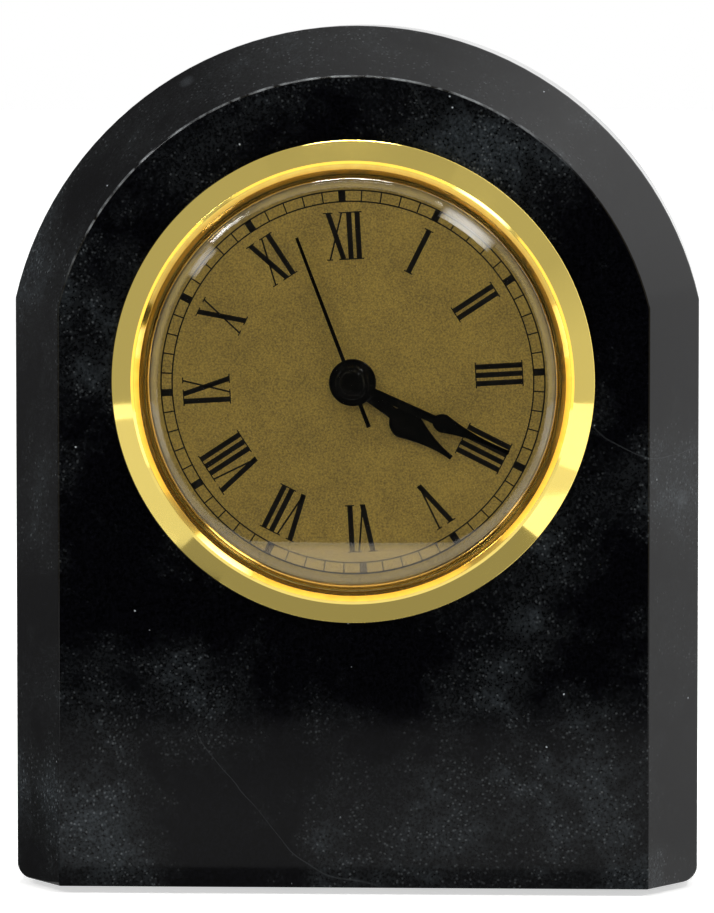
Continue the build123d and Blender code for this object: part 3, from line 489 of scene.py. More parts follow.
def polished_gold():
    """Bright gold plate with wavy polish, and a painted reflection of gold in gold that turns it amber in
    the groove round the lens.
    """
    material, tree, shader = new_material(
        "polished_gold_plate",
        {"Metallic": 1.0, "Coat Weight": 1.0, "Coat Roughness": 0.03},
    )
    place = add(tree, "ShaderNodeTexCoord").outputs["Object"]
    polish = add(tree, "ShaderNodeTexNoise", {"Scale": 110.0, "Detail": 3.0}, {"Vector": place})
    amber_edge_noise = add(tree, "ShaderNodeTexNoise", {"Scale": 700.0, "Detail": 4.0}, {"Vector": place})
    waves = polish.outputs["Fac"]
    # Painted reflection: the base colour turns amber inside the groove round the lens, with a ragged outer
    # edge
    spoke = add(
        tree,
        "ShaderNodeVectorMath",
        {"operation": "MULTIPLY_ADD", 1: (1, 0, 1), 2: (-axis.x, 0, -axis.z)},
        {0: place},
    )
    reach = add(tree, "ShaderNodeVectorMath", {"operation": "LENGTH"}, {0: spoke.outputs["Vector"]})
    ragged = add(
        tree,
        "ShaderNodeMath",
        {"operation": "MULTIPLY_ADD", 1: AMBER_RAGGED * MM},
        {0: amber_edge_noise.outputs["Fac"], 2: reach.outputs["Value"]},
    )
    across = add(
        tree,
        "ShaderNodeMapRange",
        {"From Min": AMBER_INNER * MM, "From Max": AMBER_OUTER * MM},
        {"Value": ragged.outputs[0]},
    )
    tint = add(tree, "ShaderNodeValToRGB", links={"Fac": across.outputs["Result"]})
    set_ramp(tint, ((0.0, "#e6b340"), (0.55, "#f4cb55"), (1.0, "#f6db6c")))
    tree.links.new(tint.outputs["Color"], shader.inputs["Base Color"])
    gloss = add(
        tree,
        "ShaderNodeMapRange",
        {"From Min": 0.3, "From Max": 0.7, "To Min": 0.05, "To Max": 0.1},
        {"Value": waves},
    )
    tree.links.new(gloss.outputs["Result"], shader.inputs["Roughness"])
    relief = add(tree, "ShaderNodeBump", {"Strength": 1.0, "Distance": 0.004 * MM}, {"Height": waves})
    tree.links.new(relief.outputs["Normal"], shader.inputs["Normal"])
    return material


def clear_acrylic():
    """Clear moulded plastic that lets lamp light straight through to the dial."""
    material, tree, shader = new_material(
        "clear_acrylic",
        {"Base Color": colour("#fdfdfb"), "Roughness": 0.0, "IOR": 1.49, "Transmission Weight": 1.0},
    )
    place = add(tree, "ShaderNodeTexCoord")
    haze = add(
        tree,
        "ShaderNodeTexNoise",
        {"Scale": 160.0, "Detail": 2.0},
        {"Vector": place.outputs["Object"]},
    )
    rough = add(
        tree,
        "ShaderNodeMapRange",
        {"From Min": 0.4, "From Max": 0.8, "To Min": 0.0, "To Max": 0.02},
        {"Value": haze.outputs["Fac"]},
    )
    tree.links.new(rough.outputs["Result"], shader.inputs["Roughness"])
    rays = add(tree, "ShaderNodeLightPath")
    through = add(tree, "ShaderNodeBsdfTransparent", {"Color": colour("#f4f4f2")})
    both = add(
        tree,
        "ShaderNodeMixShader",
        links={
            0: rays.outputs["Is Shadow Ray"],
            1: shader.outputs["BSDF"],
            2: through.outputs["BSDF"],
        },
    )
    tree.links.new(both.outputs["Shader"], tree.nodes["Material Output"].inputs["Surface"])
    return material


def emitting(name, strength, code="#ffffff"):
    """A plain card of that brightness and colour for the stage."""
    material = bpy.data.materials.new(name)
    material.use_nodes = True
    tree = material.node_tree
    tree.nodes.remove(tree.nodes["Principled BSDF"])
    glow = add(tree, "ShaderNodeEmission", {"Color": colour(code), "Strength": strength})
    tree.links.new(glow.outputs["Emission"], tree.nodes["Material Output"].inputs["Surface"])
    return material


marble = polished_black_marble()
acrylic = clear_acrylic()
gold = polished_gold()
dial_gold = satin_gold_dial()
# Deep gloss black, so that the hands read as clean shapes with small glints
lacquer = grained(
    "gloss_black_hand_lacquer",
    {"Specular IOR Level": 0.25},
    "#020202",
    "#050504",
    1.2,
    bump=0.001,
    rough=(0.06, 0.11),
)
# Soft flat black that takes no glint of its own
ink = grained(
    "black_dial_ink",
    {"Specular IOR Level": 0.1},
    "#060504",
    "#090806",
    0.4,
    rough=(0.3, 0.34),
)
# Dull green nap, uneven like pressed wool
felt = grained(
    "dark_green_felt",
    {"Sheen Weight": 0.5, "Roughness": 1.0},
    "#12301f",
    "#2b5a3d",
    0.35,
    bump=0.12,
)
# Dry black with the fine tooth of a moulded cover
plastic = grained(
    "grained_black_abs",
    {},
    "#131313",
    "#1c1c1d",
    0.25,
    bump=0.01,
    rough=(0.42, 0.58),
)
# Dead black that never mirrors
rubber = grained("matt_gasket_rubber", {}, "#1b1a19", "#272624", 0.5, bump=0.01, rough=(0.65, 0.8))
# Warm yellow with a rolled sheen
brass = grained("rolled_wheel_brass", {"Metallic": 1.0}, "#b8923f", "#d1ad58", 0.8, rough=(0.22, 0.36))
# Milky white with a waxy sheen
acetal = grained("white_acetal", {}, "#dedbd2", "#ebe8e0", 1.5, rough=(0.35, 0.5))
# Charcoal with a sintered grain
ferrite = grained("dark_ferrite", {}, "#26262a", "#3a3a3e", 0.2, bump=0.005, rough=(0.5, 0.7))
# Dim grey metal, dulled by the furnace
iron = grained("annealed_soft_iron", {"Metallic": 1.0}, "#77756f", "#918e86", 0.6, rough=(0.35, 0.5))
# Red-brown turns under clear enamel
copper = grained(
    "enamelled_copper_wire",
    {"Metallic": 1.0},
    "#96502c",
    "#b9683c",
    0.15,
    bump=0.02,
    rough=(0.25, 0.4),
)
# Cool bright grey, near a mirror
steel = grained("bright_screw_steel", {"Metallic": 1.0}, "#9d9fa1", "#b9bbbd", 0.5, rough=(0.2, 0.32))
# Glossy green resin over cloth
laminate = grained("green_circuit_laminate", {}, "#1d4a2c", "#2a613b", 0.4, rough=(0.3, 0.45))
# A shiny black drop
epoxy = grained("black_epoxy_drop", {}, "#0c0c0d", "#141415", 0.8, rough=(0.2, 0.35))
# Pale warm silver
can = grained("nickel_plated_can", {"Metallic": 1.0}, "#a9a79f", "#bfbdb5", 0.7, rough=(0.18, 0.3))
# Yellow spring strip, brighter than the wheels
contact = grained(
    "spring_contact_brass",
    {"Metallic": 1.0},
    "#c09a4a",
    "#d6b265",
    0.5,
    rough=(0.2, 0.34),
)

finishes = {
    "black_marble": marble,
    "green_felt": felt,
    "polished_gold": gold,
    "clear_acrylic": acrylic,
    "gold_dial": dial_gold,
    "black_hand": lacquer,
    "gasket_rubber": rubber,
    "black_abs": plastic,
    "wheel_brass": brass,
    "white_acetal": acetal,
    "ferrite": ferrite,
    "soft_iron": iron,
    "copper_wire": copper,
    "screw_steel": steel,
    "circuit_laminate": laminate,
    "black_epoxy": epoxy,
    "steel_can": can,
    "contact_brass": contact,
}

# Carried-over CAD nodes take the finish of their slot
slots = {part["node"]: part["material_slot"] for part in frame["record"]["subparts"]}
for node, thing in frame["nodes"].items():
    for place in thing.material_slots:
        place.link = "OBJECT"
        place.material = finishes[slots[node]]


def piece(name, mesh, material, body, stands_for=()):
    """A finished piece made from a mesh in metres, riding on a body of the frame."""
    mesh.materials.clear()
    mesh.materials.append(material)
    thing = bpy.data.objects.new(name, mesh)
    bpy.context.collection.objects.link(thing)
    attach(thing, body)
    if stands_for:
        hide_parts(*stands_for)
    return thing


def eased(node, name, width, body, segments=2):
    """A copy of a CAD node with its corners softened by that many millimetres, in the node's place."""
    mesh = frame["nodes"][node].data.copy()
    work = bmesh.new()
    work.from_mesh(mesh)
    bmesh.ops.remove_doubles(work, verts=work.verts, dist=WELD * MM)
    bmesh.ops.dissolve_limit(work, angle_limit=FLAT_ANGLE, verts=work.verts, edges=work.edges)
    joints = [edge for edge in work.edges if len(edge.link_faces) == 2]
    corners = [edge for edge in joints if edge.calc_face_angle(0) > CORNER_ANGLE]
    bmesh.ops.bevel(
        work,
        geom=corners,
        offset=width * MM,
        segments=segments,
        profile=0.5,
        affect="EDGES",
        clamp_overlap=True,
    )
    bmesh.ops.dissolve_degenerate(work, dist=SLIVER * MM, edges=work.edges)
    bmesh.ops.recalc_face_normals(work, faces=work.faces)
    for face in work.faces:
        face.smooth = True
    work.to_mesh(mesh)
    work.free()
    thing = piece(name, mesh, finishes[slots[node]], body, (node,))
    thing.modifiers.new("even_shading", "WEIGHTED_NORMAL")
    return thing


def rounded(corners, steps=6, margin=0.03):
    """A closed outline through corners given as across, along and the radius of the arc there.

    margin is the length of straight line kept beside each arc, which keeps its shading off the flats.
    """
    points = []
    for at, (across, along, radius) in enumerate(corners):
        corner = Vector((across, along))
        if not radius:
            points.append(corner)
            continue
        before = (Vector(corners[at - 1][:2]) - corner).normalized()
        after = (Vector(corners[(at + 1) % len(corners)][:2]) - corner).normalized()
        opening = before.angle(after)
        reach = radius / math.tan(opening / 2)
        start = corner + before * reach
        end = corner + after * reach
        middle = corner + (before + after).normalized() * (radius / math.sin(opening / 2))
        swing = (start - middle).angle(end - middle)
        points.append(start + before * margin)
        for step in range(steps + 1):
            share = step / steps
            first = math.sin((1 - share) * swing) / math.sin(swing)
            second = math.sin(share * swing) / math.sin(swing)
            points.append(middle + (start - middle) * first + (end - middle) * second)
        points.append(end + after * margin)
    return points


def turned(name, outline, material, stands_for, segments=TURNED_SEGMENTS, body="insert"):
    """A piece turned round the insert's axis from a closed outline of radius and height points."""
    work = bmesh.new()
    rings = []
    for segment in range(segments):
        angle = math.tau * segment / segments
        across = math.cos(angle)
        along = math.sin(angle)
        rings.append([work.verts.new((r * across, r * along, h)) for r, h in outline])
    for segment, ring in enumerate(rings):
        following = rings[(segment + 1) % segments]
        for at in range(len(outline)):
            ahead = (at + 1) % len(outline)
            if outline[at][0] > 0 or outline[ahead][0] > 0:
                work.faces.new((ring[at], following[at], following[ahead], ring[ahead]))
    bmesh.ops.remove_doubles(work, verts=work.verts, dist=WELD / 100)
    bmesh.ops.recalc_face_normals(work, faces=work.faces)
    for face in work.faces:
        face.smooth = True
    mesh = bpy.data.meshes.new(name)
    work.to_mesh(mesh)
    work.free()
    mesh.set_sharp_from_angle(angle=CREASE_ANGLE)
    mesh.transform(insert_frame)
    return piece(name, mesh, material, body, stands_for)


# Stone block, hands and moulded back with softened corners
eased("stone_case", "stone_block", STONE_ARRIS, "case", 3)
eased("hour_hand", "hour_hand_lacquered", HAND_ARRIS, "hours")
eased("minute_hand", "minute_hand_lacquered", HAND_ARRIS, "minutes")
eased("second_hand", "second_hand_lacquered", HAND_ARRIS, "seconds")
eased("rear_cover", "rear_cover_moulded", MOULDED_ARRIS, "insert")
eased("battery_hatch", "battery_hatch_moulded", MOULDED_ARRIS, "hatch")
eased("setting_knob", "setting_knob_moulded", MOULDED_ARRIS, "setting")

# Button on the second hand's cap, with a rounded step round it
cap_top = (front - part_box("second_hand")[0].y) / MM
button_outline = rounded(
    (
        (0.0, cap_top - BUTTON_SUNK, 0.0),
        (BUTTON_SEAT_RADIUS, cap_top - BUTTON_SUNK, 0.0),
        (BUTTON_SEAT_RADIUS, cap_top + BUTTON_SEAT, 0.2),
        (BUTTON_FOOT_RADIUS, cap_top + BUTTON_SEAT, 0.0),
        (BUTTON_TOP_RADIUS, cap_top + BUTTON_SHOULDER, 0.16),
        (0.0, cap_top + BUTTON_TOP, 0.0),
    )
)
turned("second_hand_button", button_outline, lacquer, (), 96, "seconds")

# Bezel: a rounded rim, a sloping band, a narrow crest, an inner slope to the lens and a hollow back
crest_inner = BEZEL_CREST_RADIUS - BEZEL_CREST_FLAT
bezel_outline = rounded(
    (
        (BEZEL_FOOT_RADIUS, 0.0, 0.0),
        (BEZEL_GROOVE_RADIUS + BEZEL_WALL, 0.0, 0.0),
        (BEZEL_GROOVE_RADIUS + BEZEL_WALL, LENS_FLANGE, 0.0),
        (BEZEL_RADIUS - BEZEL_WALL, BEZEL_RIM, 0.0),
        (BEZEL_RADIUS - BEZEL_WALL, 0.0, 0.0),
        (BEZEL_RADIUS, 0.0, 0.1),
        (BEZEL_RADIUS, BEZEL_RIM, 0.4),
        (crest_inner + BEZEL_FACET, BEZEL_CREST - BEZEL_FACET_DROP, 0.06),
        (crest_inner, BEZEL_CREST, 0.05),
        (BEZEL_LIP_RADIUS + BEZEL_LEDGE, BEZEL_LIP + BEZEL_LEDGE_RISE, 0.12),
        (BEZEL_LIP_RADIUS, BEZEL_LIP, 0.06),
        (BEZEL_LIP_RADIUS, LENS_FLANGE, 0.0),
        (BEZEL_GROOVE_RADIUS, LENS_FLANGE, 0.0),
        (BEZEL_GROOVE_RADIUS, BEZEL_CRIMP, 0.0),
        (BEZEL_FOOT_RADIUS, BEZEL_CRIMP, 0.0),
    )
)
turned("gold_bezel", bezel_outline, gold, ("bezel",))

# Lens: a flange under the bezel's lip, a rounded shoulder and a shallow dome, hollow inside
shoulder_reach = LENS_RADIUS - LENS_SHOULDER
dome_centre = LENS_FLANGE - math.sqrt((LENS_DOME - LENS_SHOULDER) ** 2 - shoulder_reach**2)
join_angle = math.acos(shoulder_reach / (LENS_DOME - LENS_SHOULDER))
skins = []
for inset in (0.0, LENS_WALL):
    skin = []
    shoulder = LENS_SHOULDER - inset
    for step in range(SHOULDER_STEPS + 1):
        angle = join_angle * step / SHOULDER_STEPS
        radius = shoulder_reach + shoulder * math.cos(angle)
        skin.append((radius, LENS_FLANGE + shoulder * math.sin(angle)))
    dome = LENS_DOME - inset
    for step in range(1, DOME_STEPS):
        angle = join_angle + (math.pi / 2 - join_angle) * step / DOME_STEPS
        skin.append((dome * math.cos(angle), dome_centre + dome * math.sin(angle)))
    skin.append((0.0, dome_centre + dome))
    skins.append(skin)
outer_skin, inner_skin = skins
lens_outline = [
    (inner_skin[0][0], dial_front + LENS_SEAT),
    (LENS_FLANGE_RADIUS, dial_front + LENS_SEAT),
    (LENS_FLANGE_RADIUS, LENS_FLANGE),
    *outer_skin,
    *reversed(inner_skin),
]
turned("domed_lens", lens_outline, acrylic, ("lens",))


def block(work, corners, height):
    """A flat-topped prism of ink on the dial from four corners, counted anticlockwise."""
    low = [work.verts.new((x, y, dial_front)) for x, y in corners]
    high = [work.verts.new((x, y, dial_front + height)) for x, y in corners]
    work.faces.new(high)
    work.faces.new(list(reversed(low)))
    for at in range(4):
        ahead = (at + 1) % 4
        work.faces.new((low[at], low[ahead], high[ahead], high[at]))


def stroke(work, place, foot, head, width, height, serifs):
    """A stroke of a numeral from its foot to its head, with serifs at the ends named in serifs."""
    half = width / 2
    top = NUMERAL_HEIGHT
    shape = ((foot - half, 0.0), (foot + half, 0.0), (head + half, top), (head - half, top))
    block(work, [place(x, y) for x, y in shape], height)
    for end, low in ((foot, 0.0), (head, top - SERIF)):
        if ("foot" if end == foot and low == 0.0 else "head") in serifs:
            reach = half + SERIF_REACH
            high = low + SERIF
            bar = ((end - reach, low), (end + reach, low), (end + reach, high), (end - reach, high))
            block(work, [place(x, y) for x, y in bar], height * SERIF_INK)


# Strokes of each letter: where its foot and head stand, its width and which ends have serifs
LETTERS = {
    "I": ((0.0, 0.0, STROKE, "foot head"),),
    "V": ((0.22, -0.95, STROKE, "head"), (0.2, 1.08, HAIRLINE, "head")),
    "X": ((0.98, -0.98, STROKE, "foot head"), (-1.02, 1.02, HAIRLINE, "foot head")),
}
# Half of the room that each letter takes
HALF_WIDTHS = {"I": 0.6, "V": 1.45, "X": 1.42}

# Roman numerals, each standing on its own radius with its foot to the centre
numerals = bmesh.new()
for hour, word in enumerate(HOURS):
    heading = math.radians(90 - 30 * hour)
    outward = Vector((math.cos(heading), math.sin(heading)))
    sideways = Vector((outward.y, -outward.x))
    at = -sum(HALF_WIDTHS[letter] for letter in word)
    for number, letter in enumerate(word):
        at += HALF_WIDTHS[letter]
        for foot, head, width, serifs in LETTERS[letter]:
            middle = at

            def place(x, y):
                return sideways * (middle + x) + outward * (NUMERAL_FOOT + y)

            stroke(numerals, place, foot, head, width, INK * (1 + INK_STEP * number), serifs)
        at += HALF_WIDTHS[letter]
numeral_mesh = bpy.data.meshes.new("roman_numerals")
bmesh.ops.recalc_face_normals(numerals, faces=numerals.faces)
numerals.to_mesh(numeral_mesh)
numerals.free()
numeral_mesh.transform(insert_frame)
piece("roman_numerals", numeral_mesh, ink, "insert")

# Minute track: two rings, sixty ticks and twelve solid blocks, made by Geometry Nodes
tree = bpy.data.node_groups.new("minute_track", "GeometryNodeTree")
track_sizes = {
    "Outer radius": TRACK_OUTER,
    "Inner radius": TRACK_INNER,
    "Line width": TRACK_LINE,
    "Block width": TRACK_BLOCK,
    "Ink height": INK,
}
for label in track_sizes:
    tree.interface.new_socket(label, in_out="INPUT", socket_type="NodeSocketFloat")
tree.interface.new_socket("Geometry", in_out="OUTPUT", socket_type="NodeSocketGeometry")
given = add(tree, "NodeGroupInput").outputs
total = add(
    tree,
    "ShaderNodeMath",
    {"operation": "ADD"},
    {0: given["Outer radius"], 1: given["Inner radius"]},
)
middle = add(tree, "ShaderNodeMath", {"operation": "DIVIDE", 1: 2.0}, {0: total.outputs[0]})
breadth = add(
    tree,
    "ShaderNodeMath",
    {"operation": "SUBTRACT"},
    {0: given["Outer radius"], 1: given["Inner radius"]},
)
posts = add(tree, "GeometryNodeMeshCircle", {"Vertices": MINUTES}, {"Radius": middle.outputs[0]})
index = add(tree, "GeometryNodeInputIndex")
heading = add(
    tree,
    "ShaderNodeMath",
    {"operation": "MULTIPLY", 1: math.tau / MINUTES},
    {0: index.outputs["Index"]},
)
turn = add(tree, "ShaderNodeCombineXYZ", links={"Z": heading.outputs[0]})
beat = add(
    tree,
    "ShaderNodeMath",
    {"operation": "MODULO", 1: MINUTES_PER_BLOCK},
    {0: index.outputs["Index"]},
)
on_five = add(tree, "ShaderNodeMath", {"operation": "LESS_THAN", 1: 0.5}, {0: beat.outputs[0]})
off_five = add(tree, "ShaderNodeMath", {"operation": "GREATER_THAN", 1: 0.5}, {0: beat.outputs[0]})
joined = add(tree, "GeometryNodeJoinGeometry")
for width, chosen in (("Line width", off_five), ("Block width", on_five)):
    size = add(
        tree,
        "ShaderNodeCombineXYZ",
        links={"X": breadth.outputs[0], "Y": given[width], "Z": given["Ink height"]},
    )
    bar = add(tree, "GeometryNodeMeshCube", links={"Size": size.outputs[0]})
    bars = add(
        tree,
        "GeometryNodeInstanceOnPoints",
        links={
            "Points": posts.outputs["Mesh"],
            "Selection": chosen.outputs[0],
            "Instance": bar.outputs["Mesh"],
            "Rotation": turn.outputs[0],
        },
    )
    tree.links.new(bars.outputs["Instances"], joined.inputs[0])
for radius in ("Outer radius", "Inner radius"):
    ring = add(
        tree,
        "GeometryNodeCurvePrimitiveCircle",
        {"mode": "RADIUS", "Resolution": TURNED_SEGMENTS},
        {"Radius": given[radius]},
    )
    nib = add(
        tree,
        "GeometryNodeCurvePrimitiveQuadrilateral",
        links={"Width": given["Line width"], "Height": given["Ink height"]},
    )
    drawn = add(
        tree,
        "GeometryNodeCurveToMesh",
        links={"Curve": ring.outputs["Curve"], "Profile Curve": nib.outputs["Curve"]},
    )
    tree.links.new(drawn.outputs["Mesh"], joined.inputs[0])
solid = add(tree, "GeometryNodeRealizeInstances", links={"Geometry": joined.outputs[0]})
inked = add(tree, "GeometryNodeSetMaterial", {"Material": ink}, {"Geometry": solid.outputs[0]})
add(tree, "NodeGroupOutput", links={"Geometry": inked.outputs[0]})

track = bpy.data.objects.new("minute_track_maker", bpy.data.meshes.new("minute_track_seed"))
bpy.context.collection.objects.link(track)
maker = track.modifiers.new("track", "NODES")
maker.node_group = tree
for item in tree.interface.items_tree:
    if item.in_out == "INPUT":
        maker[item.identifier] = track_sizes[item.name]
track_mesh = bpy.data.meshes.new_from_object(track.evaluated_get(bpy.context.evaluated_depsgraph_get()))
bpy.data.objects.remove(track)
track_mesh.transform(Matrix.Translation((0, 0, dial_front + INK / 2)))
track_mesh.transform(insert_frame)
piece("minute_track", track_mesh, ink, "insert")

# Felt pad: rounded corners, soft edges and a slightly uneven cut
felt_half_x = (felt_high.x - felt_low.x) / 2 / MM
felt_half_y = (felt_high.y - felt_low.y) / 2 / MM
felt_middle = (felt_low + felt_high) / 2
felt_thick = (felt_high.z - felt_low.z) / MM
pad = bmesh.new()
layers = []
for inset, height in (
    (FELT_EDGE, 0.0),
    (FELT_EDGE * 0.3, FELT_EDGE * 0.3),
    (0.0, felt_thick * 0.5),
    (FELT_EDGE * 0.3, felt_thick - FELT_EDGE * 0.3),
    (FELT_EDGE, felt_thick),
):
    outline = rounded(
        (
            (-felt_half_x + inset, -felt_half_y + inset, FELT_CORNER),
            (felt_half_x - inset, -felt_half_y + inset, FELT_CORNER),
            (felt_half_x - inset, felt_half_y - inset, FELT_CORNER),
            (-felt_half_x + inset, felt_half_y - inset, FELT_CORNER),
        ),
        steps=12,
    )
    ring = []
    for at, point in enumerate(outline):
        following = outline[(at + 1) % len(outline)]
        pieces = max(1, round((following - point).length / FELT_SPACING))
        for step in range(pieces):
            spot = point.lerp(following, step / pieces)
            ragged = 1 - FELT_RAGGED * (1 + noise.noise((spot.x * 0.9, spot.y * 0.9, 0.0)))
            ring.append(
                pad.verts.new(
                    (
                        felt_middle.x + spot.x * ragged * MM,
                        felt_middle.y + spot.y * ragged * MM,
                        felt_low.z + height * MM,
                    )
                )
            )
    layers.append(ring)
pad.faces.new(list(reversed(layers[0])))
pad.faces.new(layers[-1])
for lower, upper in zip(layers, layers[1:]):
    bmesh.ops.bridge_loops(
        pad,
        edges=[
            pad.edges.get((ring[at], ring[(at + 1) % len(ring)]))
            or pad.edges.new((ring[at], ring[(at + 1) % len(ring)]))
            for ring in (lower, upper)
            for at in range(len(ring))
        ],
    )
bmesh.ops.recalc_face_normals(pad, faces=pad.faces)
for face in pad.faces:
    face.smooth = len(face.verts) < 5
pad_mesh = bpy.data.meshes.new("felt_pad")
pad.to_mesh(pad_mesh)
pad.free()
felt_pad = piece("felt_pad", pad_mesh, felt, "case", ("felt_base",))


# Camera fitted to the photograph: a little right of the clock and a little above it
CAMERA_AZIMUTH = math.radians(2.5)
CAMERA_ELEVATION = math.radians(4.1)
CAMERA_DISTANCE = 0.95
CAMERA_AIM = Vector((0.00056, -0.019, 0.06387))
eye = bpy.data.cameras.new("camera")
eye.sensor_width = 36.0
eye.lens = 259.0
camera = bpy.data.objects.new("camera", eye)
toward = Vector(
    (
        math.sin(CAMERA_AZIMUTH) * math.cos(CAMERA_ELEVATION),
        -math.cos(CAMERA_AZIMUTH) * math.cos(CAMERA_ELEVATION),
        math.sin(CAMERA_ELEVATION),
    )
)
camera.location = CAMERA_AIM + toward * CAMERA_DISTANCE
camera.rotation_mode = "QUATERNION"
camera.rotation_quaternion = (-toward).to_track_quat("-Z", "Y")
bpy.context.collection.objects.link(camera)
bpy.context.scene.camera = camera
bpy.context.scene.view_settings.view_transform = "Standard"
bpy.context.view_layer.update()


def card(name, corners, material, shown=False, faces=None):
    """A thin stage piece from corners in metres. Unless shown, only reflections and glass see it."""
    mesh = bpy.data.meshes.new(name)
    mesh.from_pydata(corners, [], faces or [tuple(range(len(corners)))])
    mesh.materials.append(material)
    thing = bpy.data.objects.new(name, mesh)
    bpy.context.collection.objects.link(thing)
    if not shown:
        thing.visible_camera = False
        thing.visible_diffuse = False
        thing.visible_shadow = False
    return thing


# Pale table top that keeps the clock's shadow, a hair under the felt
SINK = 0.00005
TABLE_REACH = 6
table_top, tree, shader = new_material(
    "pale_table_top",
    {"Emission Color": (1, 1, 1, 1), "Emission Strength": 0.59, "Roughness": 0.65},
)
place = add(tree, "ShaderNodeTexCoord")
fibres = add(
    tree,
    "ShaderNodeTexNoise",
    {"Scale": 25.0, "Detail": 4.0},
    {"Vector": place.outputs["Object"]},
)
paper = add(tree, "ShaderNodeValToRGB", links={"Fac": fibres.outputs["Fac"]})
set_ramp(paper, ((0.35, "#e8e8e7"), (0.65, "#eeeeed")))
tree.links.new(paper.outputs["Color"], shader.inputs["Base Color"])


def level_card(left, right, near, far, height):
    """Corners of a level card between these sides, in metres."""
    return ((left, near, height), (right, near, height), (right, far, height), (left, far, height))


table_corners = level_card(-TABLE_REACH, TABLE_REACH, -TABLE_REACH, TABLE_REACH, -SINK)
card("table", table_corners, table_top, shown=True)

# Cards that stand for the room in the polished surfaces: their brightness, colour and corners
LIFT = 0.0004
EDGE = 0.0006
WHITE = "#ffffff"
WARM = "#ffe9b0"
ROOM = (
    (
        "front_floor",
        0.012,
        WHITE,
        ((-0.16, -0.235, LIFT), (-0.6, -1.3, LIFT), (0.6, -1.3, LIFT), (0.16, -0.235, LIFT)),
    ),
    (
        "front_wall",
        0.012,
        WHITE,
        ((-0.6, -1.3, 0), (0.6, -1.3, 0), (0.6, -1.3, 0.66), (-0.6, -1.3, 0.66)),
    ),
    (
        "front_top",
        1.6,
        WARM,
        ((-1.3, -1.3, 0.9), (1.3, -1.3, 0.9), (1.3, -0.8, 1.5), (-1.3, -0.8, 1.5)),
    ),
    (
        "front_left",
        1.6,
        WARM,
        ((-0.3, -0.5, 0), (-0.45, -0.25, 0), (-0.45, -0.25, 0.35), (-0.3, -0.5, 0.35)),
    ),
    (
        "front_right",
        1.6,
        WARM,
        ((0.3, -0.5, 0), (0.45, -0.25, 0), (0.45, -0.25, 0.35), (0.3, -0.5, 0.35)),
    ),
    ("left_front", 0.85, WHITE, level_card(-0.35, -0.075, -0.13, -0.03, EDGE)),
    ("shaded_table", 0.33, WHITE, level_card(-0.08, 0.08, -0.045, -0.02, LIFT)),
    ("left_table", 0.13, WHITE, level_card(-0.15, -0.05, -0.028, 0.3, LIFT)),
    ("right_table", 1.33, WHITE, level_card(0.05, 0.15, -0.028, 0.3, LIFT)),
    ("left_wall", 0.47, WHITE, ((-0.5, -2, 0), (-0.5, 2, 0), (-0.9, 2, 2), (-0.9, -2, 2))),
    ("ceiling", 0.45, WHITE, ((-0.9, -2, 2), (-0.9, 2, 2), (0.9, 2, 2), (0.9, -2, 2))),
)
for name, strength, code, corners in ROOM:
    card(name, corners, emitting(name, strength, code))


def soft_light(name, code):
    """A light for reflections whose brightness is the level of each point."""
    material = emitting(name, 1.0, code)
    tree = material.node_tree
    levels = add(tree, "ShaderNodeAttribute", {"attribute_name": "level"})
    tree.links.new(levels.outputs["Fac"], tree.nodes["Emission"].inputs["Strength"])
    return material


white_light = soft_light("soft_white_light", WHITE)
warm_light = soft_light("soft_warm_light", "#ffefd0")


def lit_grid(name, rows, material=white_light):
    """A light for reflections only, from equal rows of places in metres with the brightness there."""
    across = len(rows[0])
    points = [place for row in rows for place, level in row]
    faces = []
    for row in range(len(rows) - 1):
        for at in range(row * across, (row + 1) * across - 1):
            faces.append((at, at + 1, at + across + 1, at + across))
    thing = card(name, points, material, faces=faces)
    brightness = [level for row in rows for place, level in row]
    thing.data.attributes.new("level", "FLOAT", "POINT").data.foreach_set("value", brightness)


# Right wall, brighter low down, and the near part of the table, brighter at its front edge
WALL_FOOT = 0.5
WALL_LEAN = 0.2
WALL_END = 2
NEAR_TABLE_SIDE = 0.16
right_wall = []
for height, level in ((0.0, 0.68), (0.15, 0.68), (0.4, 0.5), (2.0, 0.5)):
    across = WALL_FOOT + WALL_LEAN * height
    right_wall.append([((across, WALL_END, height), level), ((across, -WALL_END, height), level)])
lit_grid("right_wall", right_wall)
near_table = []
for along, level in ((-0.235, 0.85), (-0.2, 0.8), (-0.15, 0.95), (-0.1, 1.05), (-0.045, 1.0)):
    near_table.append(
        [((-NEAR_TABLE_SIDE, along, LIFT), level), ((NEAR_TABLE_SIDE, along, LIFT), level)]
    )
lit_grid("near_table", near_table)

# A ring of light round the clock that the stone's bevel reflects: clock angles and brightness there
RING_REACH = 0.15
RING_FRONT = -0.028
RING_BACK = 0.3
RING_STEPS = 5
RING = (
    (-119, 0.17),
    (-90, 0.28),
    (-60, 0.22),
    (-30, 0.32),
    (-8, 0.94),
    (10, 1.35),
    (40, 2.5),
    (65, 2.25),
    (90, 1.65),
    (119, 1.36),
)
ring_rows = []
for (first, start_level), (last, end_level) in zip(RING, RING[1:]):
    for step in range(RING_STEPS + 1):
        angle = math.radians(first + (last - first) * step / RING_STEPS)
        level = start_level + (end_level - start_level) * step / RING_STEPS
        across = axis.x + RING_REACH * math.sin(angle)
        along = axis.z + RING_REACH * math.cos(angle)
        ring_rows.append([((across, RING_FRONT, along), level), ((across, RING_BACK, along), level)])
lit_grid("ring_light", ring_rows)


